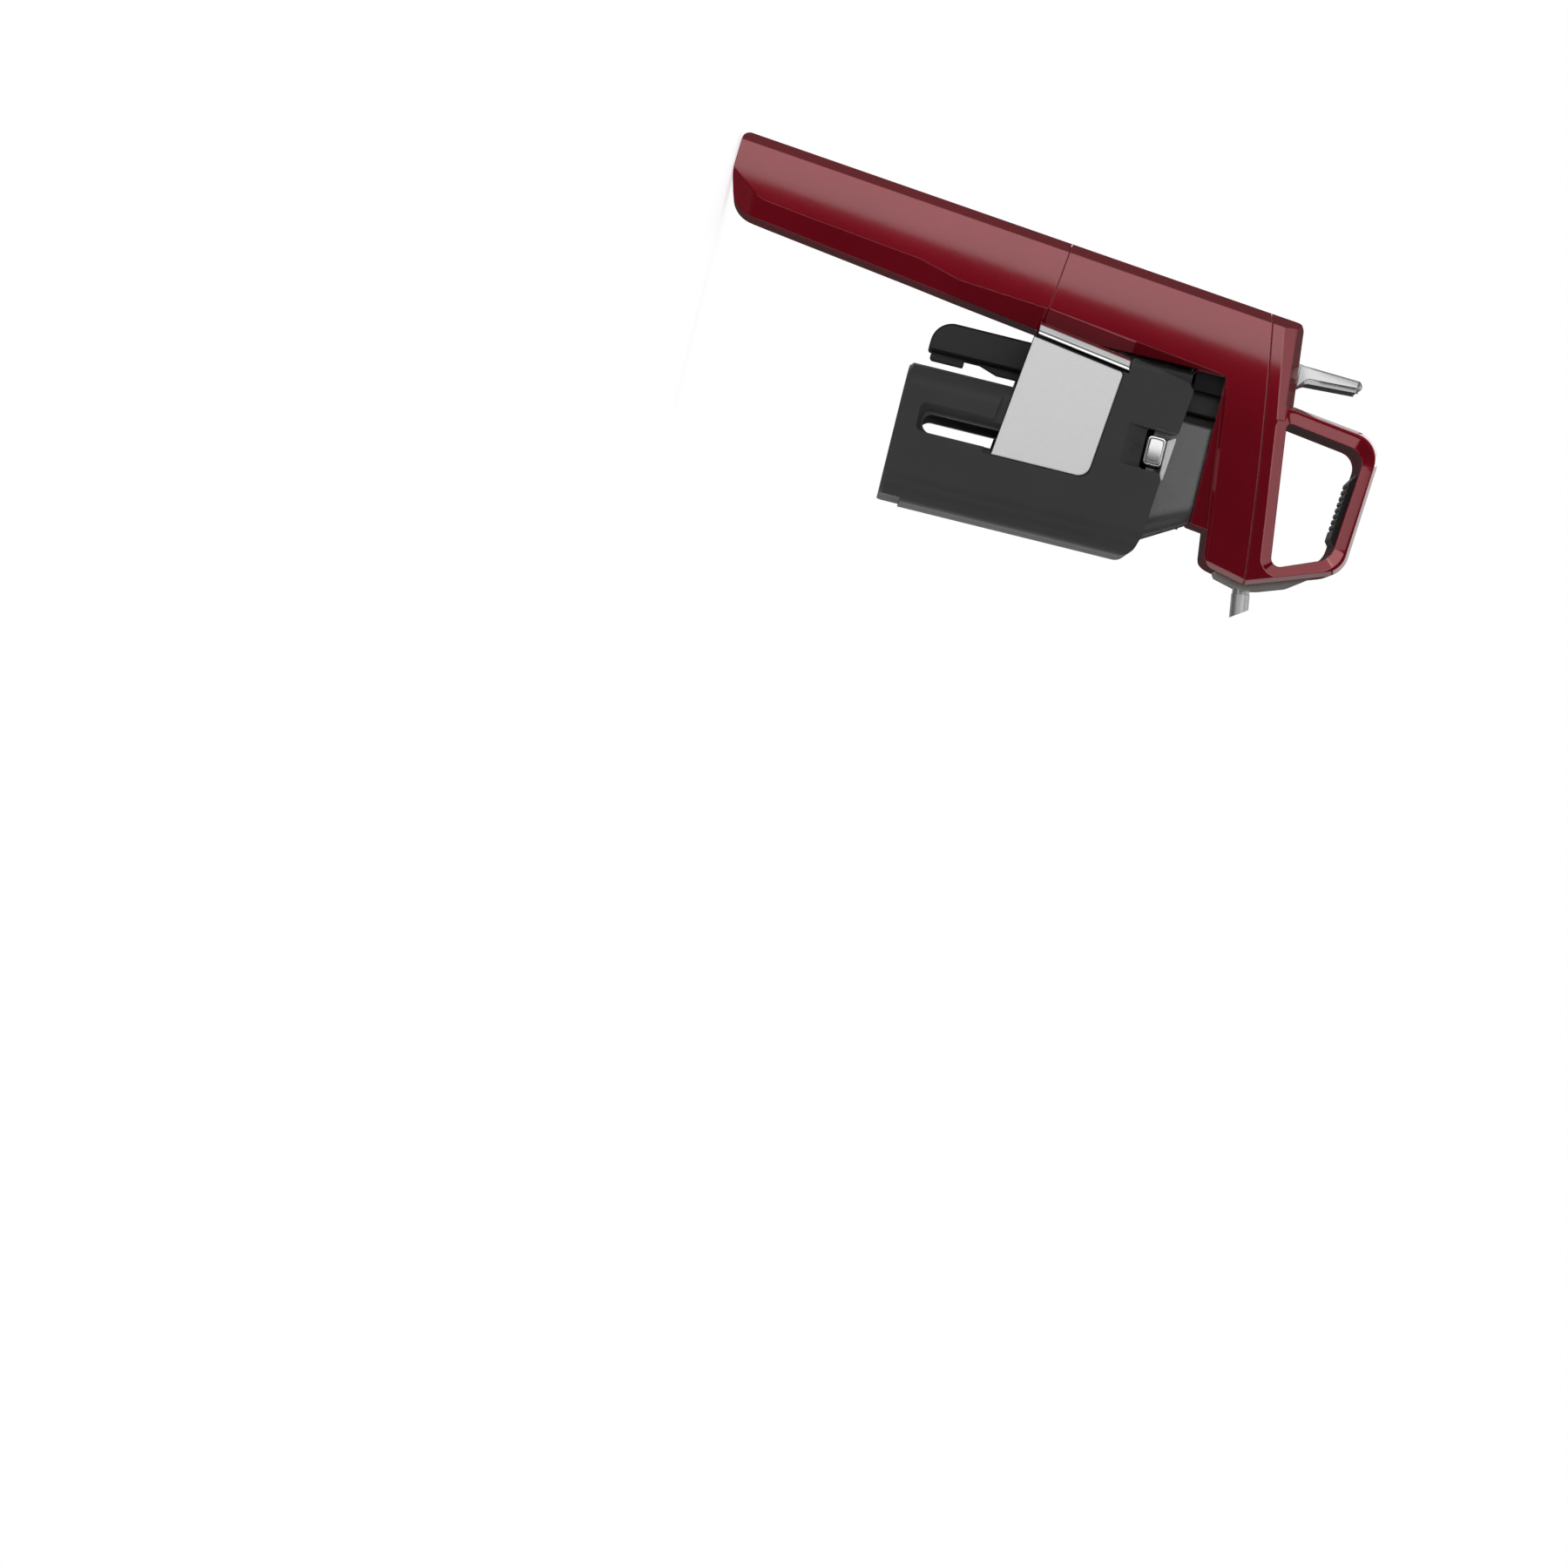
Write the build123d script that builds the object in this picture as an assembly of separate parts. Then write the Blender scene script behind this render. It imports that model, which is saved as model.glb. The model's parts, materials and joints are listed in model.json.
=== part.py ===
from build123d import *
import os
from math import acos, atan2, cos, degrees, hypot, radians, sin, tan

# Wine preservation dispenser that clamps on a bottle's neck and pours through a hollow needle.
# Millimetres. +Z runs up the needle, +X towards the spout, Y = 0 is the plane of symmetry, and the
# origin is the centre of the bottle's mouth, where it meets the clamp's seat. The body is shown
# pushed all the way down, with the needle in the bottle.

# ---------------------------------------------------------------- clearances and common sizes
RUN_GAP = 0.05          # pin or shaft in its hole, on the radius
SLIDE_GAP = 0.15        # sliding faces, each side
SEAM_GAP = 0.16         # moulded parts that meet in a visible line
SCREW_R = 1.2
SCREW_HEAD_R = 2.2
SCREW_HEAD_H = 1.7

# ---------------------------------------------------------------- bottle's neck
NECK_R = 14.0           # radius that the closed jaws grip
SEAT_R = 15.5           # flange that rests on the bottle's mouth
SEAT_T = 8.0
GUIDE_R = 4.9           # needle guide, an insert in the flange
GUIDE_TOP_Z = 22.0
MOUTH_SEAL_IN_R = 6.4   # rubber ring that meets the bottle's lip
MOUTH_SEAL_OUT_R = 13.6
MOUTH_SEAL_T = 1.5

# ---------------------------------------------------------------- head and arm, outside
BODY_HALF = 14.0        # half the width of head, arm and cup
ARM_TILT = 6.5          # lean of the capsule arm away from the needle, degrees
ARM_INNER_X = -42.6     # face of the arm that passes the clamp
CUP_SEAM_Z = -34.9      # cup's seam at that face
SEAM_DEPTH = 29.7       # arm's depth across the seam
CUP_END_DEPTH = 25.2    # cup's depth at its free end
CUP_END_SLANT = 5.4     # its back edge is that much longer than its front edge
HEAD_BACK_X = -64.9     # upper back corner of the head
HEAD_BACK_Z = 47.0
TOP_SLOPE = 6.0         # rise of the head's top towards the spout, degrees
UNDER_SLOPE = 7.1       # rise of its underside
UNDER_Z = 26.0          # underside at the inner corner of the arm
NOSE_X = 20.6           # front edge of the head, at the housing's seam
NOSE_Z = 48.0
NOSE_LOW_X = 17.4
SEAM_BACK = (-95.0, 30.2)       # housing's seam, a shallow arc through three points
SEAM_MIDDLE = (-22.0, 42.6)
SEAM_FRONT = (36.0, 48.9)
BAND_BACK = (-61.1, 40.5)   # lower line of the lit facet under the head's top edge
BAND_FRONT = (-33.0, 45.1)
FACET = 3.5             # facets under the top edge and round the handle's opening, on the side face
FACET_WIDE = 1.2        # and across the width
BEVEL = 3.4             # broad bevels, on the side face
BEVEL_WIDE = 4.8        # and across the width
TOP_BEVEL_WIDE = 6.0
NOSE_BEVEL = 1.3
NOSE_BEVEL_WIDE = 4.0
UNDER_BEVEL = 0.9
HEAD_WALL = 2.6
BOSS_HALF = 11.5        # rail's boss under the head
BOSS_Z = 26.3
BOSS_FRONT_X = 5.8
SKIRT_X = -36.2         # boss behind and beside the rail, down to just above the channel
SKIRT_GAP = 1.0
SKIRT_HALF = 10.0

# ---------------------------------------------------------------- handle
LOOP_BACK_X = -38.5     # where the back leg meets the head's top
LOOP_TOP_Z = 80.7       # outer corner over the back leg
LOOP_TOP_BACK_X = -34.7
LOOP_FRONT_TOP_X = 9.9
LOOP_FRONT_TOP_Z = 77.8
LOOP_BAR = 5.3          # thickness of its bars
LOOP_OUTER_R = 9.5
LOOP_INNER_R = 5.5
OPENING_DROP_BACK = 1.8     # the opening's floor lies that much under the head's top
OPENING_DROP_FRONT = 0.8
GRIP_BACK_X = -22.5     # rubber pad under the top bar
GRIP_FRONT_X = 1.5
GRIP_T = 1.7
GRIP_HALF = 8.0

# ---------------------------------------------------------------- rail and the clamp's channel
RAIL_BACK_X = -38.8
RAIL_DEPTH = 10.0
RAIL_HALF = 6.0
RAIL_END_Z = -68.2
RAIL_TOP_Z = 30.0       # its top, in the head's boss
RAIL_SCREW_X = (-36.2, -31.4)
FLOOR_T = 2.5           # head's floor over the rail
CAM_DEPTH = 2.5
CAM_HALF = 3.0
CHANNEL_WALL = 2.8
CHANNEL_HALF = 10.8
CHANNEL_LOW_Z = -36.0
CHANNEL_TOP_Z = 16.0
CAM_ROOM = 0.4          # free space in front of the cam strip
GLIDE_T = 1.4           # low-friction pads in the channel's walls
GLIDE_X = (-36.4, -31.2)
GLIDE_SPANS = ((-31.0, -25.0), (4.0, 10.0))
BRIDGE_TOP_Z = 23.5     # bridge from the channel to the needle guide
BRIDGE_HALF = 10.0
SLEEVE_STOP_Z = 26.2    # top of the cone, where the head's boss stops

# ---------------------------------------------------------------- jaws
JAW_STEP = 8.0          # jaws stand out beyond head and arm by that, on each side
JAW_FRONT_X = 21.4
JAW_REAR_X = -22.7      # rear of their lower part
JAW_LOW_Z = -72.9
JAW_TOP_Z = 12.8
CAVITY_R = 17.3
JAW_SPLIT = 0.3         # half the slit between them
HINGE_X = -31.0
HINGE_Y = 16.5
HINGE_R = 1.5
LUG_R = 3.5
LUG_SPANS = ((-30.0, -24.0), (1.0, 7.0))
SPRING_ROOM = 4.0       # over each lug
PIN_TOP_Z = 12.5
PLATE_T = 1.0           # satin plate on each jaw
PLATE_GAP = 0.35        # dark groove round it
BAND_TOP_Z = -4.9       # plated band between arm and plate
BAND_LOW_Z = -35.6
BAND_T = 1.4
WINDOW_X = -4.7         # slot that shows the bottle's neck
WINDOW_W = 6.4
WINDOW_LOW_Z = -64.6
WINDOW_TOP_Z = -30.0
PAD_LOW_Z = -66.0       # rubber pads on the neck
PAD_HEIGHT = 34.0

# ---------------------------------------------------------------- release buttons
BUTTON_BACK_X = -18.0
BUTTON_W = 9.6
BUTTON_LOW_Z = 6.2
BUTTON_H = 6.0
BUTTON_LENGTH = 8.1
BUTTON_SUNK = 1.3       # its face lies inside the jaw's side
BUTTON_TRAVEL = 1.5
BUTTON_BORE = 4.0       # depth of the bore for its spring
BUTTON_SPRING_R = 1.2
BUTTON_GAP = 0.25

# ---------------------------------------------------------------- trigger and valve
TRIGGER_X = -51.0       # its pin
TRIGGER_Z = 30.5
TRIGGER_TIP_Z = 70.0
TRIGGER_PIN_R = 1.5
TRIGGER_NOSE = 2.6      # reach of the nose in front of the pin
STEM_Z = 42.0
STEM_R = 2.2
STEM_BORE_R = 2.6
STEM_RING_X = (-3.5, 0.5)
BLOCK_LOW_Z = 36.2      # valve block
BLOCK_TOP_Z = 49.6
BLOCK_BACK_X = -7.0
BLOCK_FRONT_X = 12.6
BLOCK_HALF = 7.5
HUB_R = 3.6             # needle's hub, in the floor of the head
GAS_PORT_Y = 3.9
GAS_PORT_Z = 46.0
GAS_TUBE_R = 1.5
HOUSING_SCREW_X = -16.0
POST_R = 2.8            # screw posts inside the head
SPOUT_R = 3.0
SPOUT_SHANK_R = 2.8     # the part pressed into the head
SPOUT_SHOULDER = 2.6    # where the full radius starts, in front of the nose
SPOUT_BORE_R = 2.2
SPOUT_TILT = 8.5        # degrees above the horizontal
NEEDLE_R = 0.82
NEEDLE_BORE_R = 0.5
NEEDLE_TIP_Z = -54.0

# ---------------------------------------------------------------- gas capsule and regulator
CAPSULE_R = 9.3
CAPSULE_LENGTH = 66.0
CAPSULE_NECK_R = 4.4
CAPSULE_WALL = 1.1
CAPSULE_ROOM = 0.4      # round the capsule, in the cup
CAPSULE_TOP = 30.0      # its tip, below the cup's seam
COLLAR_R = 11.2         # threaded collar of the regulator
COLLAR_BELOW = 36.0     # its length below the seam
COLLAR_ABOVE = 16.0
LINER_R = 12.6          # metal liner of the cup
LINER_LENGTH = 36.0
CUSHION_T = 8.0         # rubber cushion under the capsule
CUP_END_WALL = 7.0
CUP_TURN_R = 18.3       # room for the cup's corners as it unscrews
LANCE_R = 1.1           # lance that pierces the capsule

CAPSULE_END = CAPSULE_TOP + CAPSULE_LENGTH
CUP_BACK_LENGTH = CAPSULE_END + CUSHION_T + CUP_END_WALL
CUP_FRONT_LENGTH = CUP_BACK_LENGTH - CUP_END_SLANT
ARM_C = cos(radians(ARM_TILT))
ARM_S = sin(radians(ARM_TILT))
ARM_X = ARM_INNER_X - SEAM_DEPTH / 2 * ARM_C    # middle of the cup's seam
ARM_Z = CUP_SEAM_Z + SEAM_DEPTH / 2 * ARM_S
ARM = Plane(origin=(ARM_X, 0, ARM_Z), x_dir=(ARM_C, 0, -ARM_S), z_dir=(-ARM_S, 0, -ARM_C))
RAIL_FRONT_X = RAIL_BACK_X + RAIL_DEPTH
CAM_X = RAIL_FRONT_X + CAM_DEPTH
CAM_TOP_Z = RAIL_TOP_Z - 2.0
CHANNEL_FRONT_X = CAM_X + CAM_ROOM + CHANNEL_WALL
HEAD_HALF_IN = BODY_HALF - HEAD_WALL - 0.2      # inside of head and arm
GAS_TUBE_Y = HEAD_HALF_IN - GAS_TUBE_R - 0.9
TRIGGER_HALF = GAS_TUBE_Y - GAS_TUBE_R - 0.8
JAW_HALF = BODY_HALF + JAW_STEP
BUTTON_OUT_Y = JAW_HALF - BUTTON_SUNK
BUTTON_IN_Y = BUTTON_OUT_Y - BUTTON_LENGTH
HOUSING_SCREW_Y = BODY_HALF - HEAD_WALL - POST_R
BUTTON_FRONT_X = BUTTON_BACK_X + BUTTON_W
BUTTON_TOP_Z = BUTTON_LOW_Z + BUTTON_H


# ================================================================ drawing helpers
def unit(x, y):
    """The direction (x, y) with length 1."""
    return x / hypot(x, y), y / hypot(x, y)


def outline(*corners):
    """A flat face through (x, y, radius) corners; a corner with radius 0 stays sharp."""
    turns = []
    for i, (x, y, radius) in enumerate(corners):
        before, after = corners[i - 1], corners[(i + 1) % len(corners)]
        if radius == 0:
            turns.append(((x, y), None, (x, y)))
            continue
        a = unit(before[0] - x, before[1] - y)
        b = unit(after[0] - x, after[1] - y)
        half = acos(a[0] * b[0] + a[1] * b[1]) / 2
        reach = radius / tan(half)
        middle = unit(a[0] + b[0], a[1] + b[1])
        depth = radius / sin(half) - radius
        turns.append((
            (x + a[0] * reach, y + a[1] * reach),
            (x + middle[0] * depth, y + middle[1] * depth),
            (x + b[0] * reach, y + b[1] * reach),
        ))
    edges = []
    for i, (start, top, end) in enumerate(turns):
        if top:
            edges.append(ThreePointArc(start, top, end))
        following = turns[(i + 1) % len(turns)][0]
        if hypot(following[0] - end[0], following[1] - end[1]) > 1e-6:
            edges.append(Line(end, following))
    return Face(Wire(edges))


def slab(half, *corners):
    """A side-view outline, X and Z, widened evenly to both sides of the symmetry plane."""
    return extrude(Plane.XZ * outline(*corners), amount=half, both=True)


def side_slab(low_y, high_y, *corners):
    """A side-view outline, X and Z, between two values of Y."""
    face = Plane.XZ * outline(*corners)
    return Pos(0, low_y, 0) * extrude(face, amount=high_y - low_y, dir=(0, 1, 0))


def prism(low_z, high_z, *corners):
    """A plan outline, X and Y, between two heights."""
    return Pos(0, 0, low_z) * extrude(outline(*corners), amount=high_z - low_z, dir=(0, 0, 1))


def block(low_x, high_x, low_y, high_y, low_z, high_z):
    """A box between two corners."""
    corner = (low_x, low_y, low_z)
    return Pos(*corner) * Box(high_x - low_x, high_y - low_y, high_z - low_z, align=(Align.MIN,) * 3)


def rod(start, end, radius):
    """A cylinder from one point to another."""
    path = Vector(*end) - Vector(*start)
    base = (Align.CENTER, Align.CENTER, Align.MIN)
    return Plane(origin=start, z_dir=path) * Cylinder(radius, path.length, align=base)


def tube(start, end, outer, inner):
    """A pipe from one point to another."""
    return rod(start, end, outer) - rod(start, end, inner)


def cone_on(start, end, start_radius, end_radius):
    """A cone frustum from one point to another."""
    path = Vector(*end) - Vector(*start)
    base = (Align.CENTER, Align.CENTER, Align.MIN)
    return Plane(origin=start, z_dir=path) * Cone(start_radius, end_radius, path.length, align=base)


def coil(start, end, radius, wire, turns):
    """A round-wire spring between two points."""
    path = Vector(*end) - Vector(*start)
    length = path.length - 2 * wire
    helix = Helix(length / turns, length, radius)
    section = Plane(origin=helix @ 0, z_dir=helix % 0) * Circle(wire)
    return Plane(origin=start, z_dir=path) * Pos(0, 0, wire) * sweep(section, path=helix, is_frenet=True)


def screw(head, tip):
    """A pan-head screw with a socket; head is the outer end of its head."""
    down = (Vector(*tip) - Vector(*head)).normalized()
    under = Vector(*head) + down * SCREW_HEAD_H
    socket = Vector(*head) + down * (SCREW_HEAD_H * 0.6)
    return rod(head, under, SCREW_HEAD_R) + rod(under, tip, SCREW_R) - rod(head, socket, SCREW_R * 0.8)


def both_sides(shape):
    """The +Y shape and its mirror image as one group of separate solids."""
    return Compound(children=[*shape.solids(), *mirror(shape, about=Plane.XZ).solids()])


def arm_point(x, down):
    """Side-view X and Z of a point x across the arm's axis and down from the cup's seam."""
    return ARM_X + x * ARM_C - down * ARM_S, ARM_Z - x * ARM_S - down * ARM_C


def arm_axis(down):
    """A point on the arm's axis."""
    x, z = arm_point(0, down)
    return x, 0, z


def arm_rod(top, bottom, radius):
    """A cylinder on the arm's axis, between two distances below the seam."""
    return rod(arm_axis(top), arm_axis(bottom), radius)


def top_z(x):
    """Height of the head's top."""
    return HEAD_BACK_Z + (x - HEAD_BACK_X) * tan(radians(TOP_SLOPE))


def under_z(x):
    """Height of the head's underside at its side edges."""
    return UNDER_Z + (x - ARM_INNER_X) * tan(radians(UNDER_SLOPE))


def nose_x(z):
    """Front edge of the handle's front leg and the head above the seam."""
    return NOSE_X + (z - NOSE_Z) * (LOOP_FRONT_TOP_X - NOSE_X) / (LOOP_FRONT_TOP_Z - NOSE_Z)


LEG_LOW_X = NOSE_X - LOOP_BAR * 1.3         # front leg's inner edge at the head's top
LEG_ROOT_Z = 57.0       # top of the head's form, inside the front leg


# ================================================================ painted body
def loop_outer():
    """Outside corners of the handle's loop."""
    return (
        (LOOP_BACK_X, top_z(LOOP_BACK_X) - BEVEL, 0),
        (LOOP_BACK_X, top_z(LOOP_BACK_X), 0),
        (LOOP_TOP_BACK_X, LOOP_TOP_Z, LOOP_OUTER_R),
        (LOOP_FRONT_TOP_X, LOOP_FRONT_TOP_Z, LOOP_OUTER_R - 1),
        (NOSE_X, NOSE_Z, 0),
    )


def loop_inner():
    """Corners of the opening that the hand goes through."""
    low_x = LOOP_BACK_X + LOOP_BAR + 0.2
    return (
        (low_x, top_z(low_x) - OPENING_DROP_BACK, 1.6),
        (LOOP_TOP_BACK_X + LOOP_BAR, LOOP_TOP_Z - LOOP_BAR, LOOP_INNER_R),
        (LOOP_FRONT_TOP_X - LOOP_BAR * 0.7, LOOP_FRONT_TOP_Z - LOOP_BAR, LOOP_INNER_R + 1),
        (LEG_LOW_X, top_z(LEG_LOW_X) - OPENING_DROP_FRONT, 2.8),
    )


def tapered(corners, low_y, high_y, grow):
    """A side-view outline from low_y to high_y, by then grown evenly by that much, or shrunk."""
    face = Pos(0, low_y, 0) * (Plane.XZ * outline(*corners))
    slant = degrees(atan2(grow, high_y - low_y))
    return extrude(face, amount=high_y - low_y, dir=(0, 1, 0), taper=-slant)


def handle_loop():
    """The handle's loop, flush with the head, bevelled outside and faceted round its opening."""
    rim = BODY_HALF - NOSE_BEVEL_WIDE
    side = tapered(loop_outer(), rim, BODY_HALF, -NOSE_BEVEL)
    return slab(rim, *loop_outer()) + side + mirror(side, about=Plane.XZ)


def handle_opening():
    """What the opening takes off loop and head, with the facets round it."""
    over = 0.5
    grow = FACET * (FACET_WIDE + over) / FACET_WIDE
    side = tapered(loop_inner(), BODY_HALF - FACET_WIDE, BODY_HALF + over, grow)
    return slab(BODY_HALF - FACET_WIDE, *loop_inner()) + side + mirror(side, about=Plane.XZ)


def body_form():
    """Head, arm and cup as one bevelled form, before it is split along its seams."""
    form = slab(
        BODY_HALF,
        (*arm_point(-CUP_END_DEPTH / 2, CUP_BACK_LENGTH), 2.5),
        (HEAD_BACK_X, HEAD_BACK_Z, 3.0),
        (LEG_LOW_X + 2.0, top_z(LEG_LOW_X + 2.0), 0),
        (nose_x(LEG_ROOT_Z) - 1.5, LEG_ROOT_Z, 0),
        (nose_x(LEG_ROOT_Z), LEG_ROOT_Z, 0),
        (NOSE_X, NOSE_Z, 0),
        (NOSE_LOW_X, under_z(NOSE_LOW_X), 4.5),
        (ARM_INNER_X, UNDER_Z, 0),
        (ARM_INNER_X, CUP_SEAM_Z, 0),
        (*arm_point(CUP_END_DEPTH / 2, CUP_FRONT_LENGTH), 8.5),
        (*arm_point(1.3, CUP_BACK_LENGTH - 0.9), 14.0),
    )
    form = bevel_sides(form)
    for side in (1, -1):
        form -= crease_cut(side)
    return form


def bevel_sides(form):
    """Broad bevels along back and top, narrower ones at the nose and along the underside."""
    back_low = arm_point(-CUP_END_DEPTH / 2, CUP_BACK_LENGTH)
    back_top = (HEAD_BACK_X, HEAD_BACK_Z)
    nose = (NOSE_X, NOSE_Z)
    nose_low = (NOSE_LOW_X, under_z(NOSE_LOW_X))
    under = (ARM_INNER_X + 4, under_z(ARM_INNER_X + 4))
    root = (LOOP_BACK_X, top_z(LOOP_BACK_X))
    rise = (BAND_FRONT[1] - BAND_BACK[1]) / (BAND_FRONT[0] - BAND_BACK[0])
    high = [(x, z + FACET * hypot(1, rise)) for x, z in (BAND_BACK, BAND_FRONT)]
    behind = block(-120, BAND_FRONT[0], -60, 60, 0, 120)
    for side in (1, -1):
        form -= bevel_cut(side, back_low, back_top, BEVEL, BEVEL_WIDE, 10)
        over_top = bevel_cut(side, back_top, root, BEVEL, TOP_BEVEL_WIDE, 12)
        form -= over_top & block(-120, LOOP_BACK_X + 0.5, -60, 60, 0, 120)
        form -= bevel_cut(side, high[0], high[1], FACET, FACET_WIDE, 12) & behind
        form -= bevel_cut(side, nose, nose_low, NOSE_BEVEL, NOSE_BEVEL_WIDE, 3)
        leg_root = (nose_x(LEG_ROOT_Z), LEG_ROOT_Z)
        form -= bevel_cut(side, leg_root, nose, NOSE_BEVEL, NOSE_BEVEL_WIDE, 3)
        form -= bevel_cut(side, nose_low, under, UNDER_BEVEL, UNDER_BEVEL, 0)
    return form


def bevel_cut(side, start, end, inward, wide, past, reach=20):
    """What a bevel takes off along a side-view edge; the form lies to the right of start to end."""
    t = Vector(end[0] - start[0], 0, end[1] - start[1]).normalized()
    n = Vector(-t.Z, 0, t.X)
    length = hypot(end[0] - start[0], end[1] - start[1]) + 2 * past
    plane = Plane(origin=Vector(start[0], 0, start[1]) - t * past, x_dir=n, z_dir=t)
    k = 3
    near = (-inward * (k + 1), -side * (BODY_HALF + wide * k))
    far = (inward * k, -side * (BODY_HALF - wide * (k + 1)))
    if abs(far[1]) < 0.5 or far[1] * side > 0:
        far = (inward * (BODY_HALF - wide - 0.5) / wide, -side * 0.5)
    out = far[0] + reach
    section = plane * outline((*near, 0), (*far, 0), (out, far[1], 0), (out, near[1], 0))
    return extrude(section, amount=length, dir=(t.X, 0, t.Z))


def crease_cut(side):
    """What the arm's inner facet takes off one side: a slanted face beyond a crease line."""
    low = (
        (*arm_point(7.6, -1.0), 0),
        (*arm_point(8.9, 30.0), 0),
        (*arm_point(6.9, 44.0), 0),
        (*arm_point(6.9, 84.0), 0),
        (*arm_point(6.6, 99.0), 11.0),
        (*arm_point(-2.0, 114.0), 0),
        (ARM_INNER_X, arm_point(0, 114.0)[1] - 6, 0),
        (ARM_INNER_X + 20, CUP_SEAM_Z, 0),
    )
    corner_z = under_z(ARM_INNER_X) - 0.4
    high = (
        (*arm_point(7.4, 0.5), 0),
        (ARM_INNER_X - 0.4, corner_z - 1.6, 1.2),
        (ARM_INNER_X + 3.0, corner_z, 0),
        (ARM_INNER_X + 20, corner_z, 0),
        (ARM_INNER_X + 20, CUP_SEAM_Z - 1, 0),
    )
    cut = None
    for corners in (low, high):
        face = Pos(0, side * (BODY_HALF + 0.01), 0) * (Plane.XZ * outline(*corners))
        piece = extrude(face, amount=16.0, dir=(7.6, -5.0 * side, 0))
        cut = piece if cut is None else cut + piece
    return cut


def seam_below(gap):
    """Everything under the housing's seam, a shallow arc, lowered by a gap."""
    left, middle, right = [(x, z - gap) for x, z in (SEAM_BACK, SEAM_MIDDLE, SEAM_FRONT)]
    arc = ThreePointArc(left, middle, right)
    low = -200.0
    rest = [Line(right, (right[0], low)), Line((right[0], low), (left[0], low)), Line((left[0], low), left)]
    return extrude(Plane.XZ * Face(Wire([arc, *rest])), amount=60, both=True)


def cup_side(gap):
    """Everything below the cup's seam, lowered by a gap."""
    return ARM * Pos(0, 0, gap) * Box(120, 80, 260, align=(Align.CENTER, Align.CENTER, Align.MIN))


def head_cavity():
    """Hollow of the head, open at the housing's seam."""
    wall = HEAD_WALL
    floor = RAIL_TOP_Z + FLOOR_T
    return slab(
        HEAD_HALF_IN,
        (HEAD_BACK_X + 4.4, 22.0, 0),
        (HEAD_BACK_X + 4.6, top_z(HEAD_BACK_X + 4.6) - wall, 1.5),
        (13.0, top_z(13.0) - wall, 0),
        (NOSE_X - wall - 1.0, NOSE_Z - 1.6, 0),
        (14.4, under_z(14.4) + wall + 0.6, 0),
        (-10.0, floor, 0),
        (ARM_INNER_X - 2.2, floor, 0),
        (ARM_INNER_X - 3.0, 22.0, 0),
    )


def arm_cavity():
    """Light space above the regulator, inside the arm."""
    low = arm_point(0, -COLLAR_ABOVE - 3.4)[1]
    back = HEAD_BACK_X - 1.2
    return slab(
        HEAD_HALF_IN,
        (back - (22 - low) * tan(radians(5.1)) + 3.4, low, 1.5),
        (back + 3.4, 22.5, 0),
        (ARM_INNER_X - 3.0, 22.5, 0),
        (ARM_INNER_X - 3.0, low, 1.5),
    )


def spout_line(distance):
    """A point on the spout's axis, so far in front of the nose."""
    c, s = cos(radians(SPOUT_TILT)), sin(radians(SPOUT_TILT))
    return NOSE_X + distance * c, 0, NOSE_Z + distance * s


def main_body(form):
    """Painted shell: arm and lower half of the head, with the boss that holds the rail."""
    shell = form & (seam_below(SEAM_GAP / 2) - cup_side(-SEAM_GAP / 2))
    boss_top = under_z(BOSS_FRONT_X) + 1.0
    boss = slab(
        BOSS_HALF,
        (ARM_INNER_X, BOSS_Z, 0),
        (ARM_INNER_X, UNDER_Z + 4, 0),
        (BOSS_FRONT_X + 0.8, boss_top, 0),
        (BOSS_FRONT_X, BOSS_Z, 0.6),
    )
    shell += boss
    skirt_low = CHANNEL_TOP_Z + SKIRT_GAP
    shell += block(ARM_INNER_X - 0.5, SKIRT_X, -SKIRT_HALF, SKIRT_HALF, skirt_low, BOSS_Z + 0.5)
    shell -= head_cavity()
    shell -= arm_cavity()
    shell -= arm_rod(1, -COLLAR_ABOVE, COLLAR_R)
    shell -= arm_rod(0, -COLLAR_ABOVE - 6, 4.0)
    shell += block(-6, 6, -6, 6, under_z(-6) + 0.5, BLOCK_LOW_Z)
    x = HOUSING_SCREW_X
    for y in (HOUSING_SCREW_Y, -HOUSING_SCREW_Y):
        shell += rod((x, y, RAIL_TOP_Z), (x, y, seam_z(x) - 0.2), POST_R)
        shell -= rod((x, y, BOSS_Z - 1), (x, y, top_z(x)), SCREW_R)
        shell -= rod((x, y, BOSS_Z - 1), (x, y, BOSS_Z + SCREW_HEAD_H), SCREW_HEAD_R)
    low = CHANNEL_TOP_Z
    shell -= block(RAIL_BACK_X, RAIL_FRONT_X, -RAIL_HALF, RAIL_HALF, low, RAIL_TOP_Z)
    shell -= block(RAIL_FRONT_X - 0.1, CAM_X, -CAM_HALF, CAM_HALF, low, CAM_TOP_Z)
    for x in RAIL_SCREW_X:
        shell -= rod((x, 0, low), (x, 0, top_z(x)), SCREW_R)
    shell -= rod((0, 0, low), (0, 0, STEM_Z), HUB_R)
    shell -= trigger_pin()
    return shell - rod(spout_line(-14), spout_line(6), SPOUT_SHANK_R)


def seam_z(x):
    """Height of the housing's seam in front of its middle, near enough for the posts below it."""
    rise = (SEAM_FRONT[1] - SEAM_MIDDLE[1]) / (SEAM_FRONT[0] - SEAM_MIDDLE[0])
    return SEAM_MIDDLE[1] + (x - SEAM_MIDDLE[0]) * rise - 0.5


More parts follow.
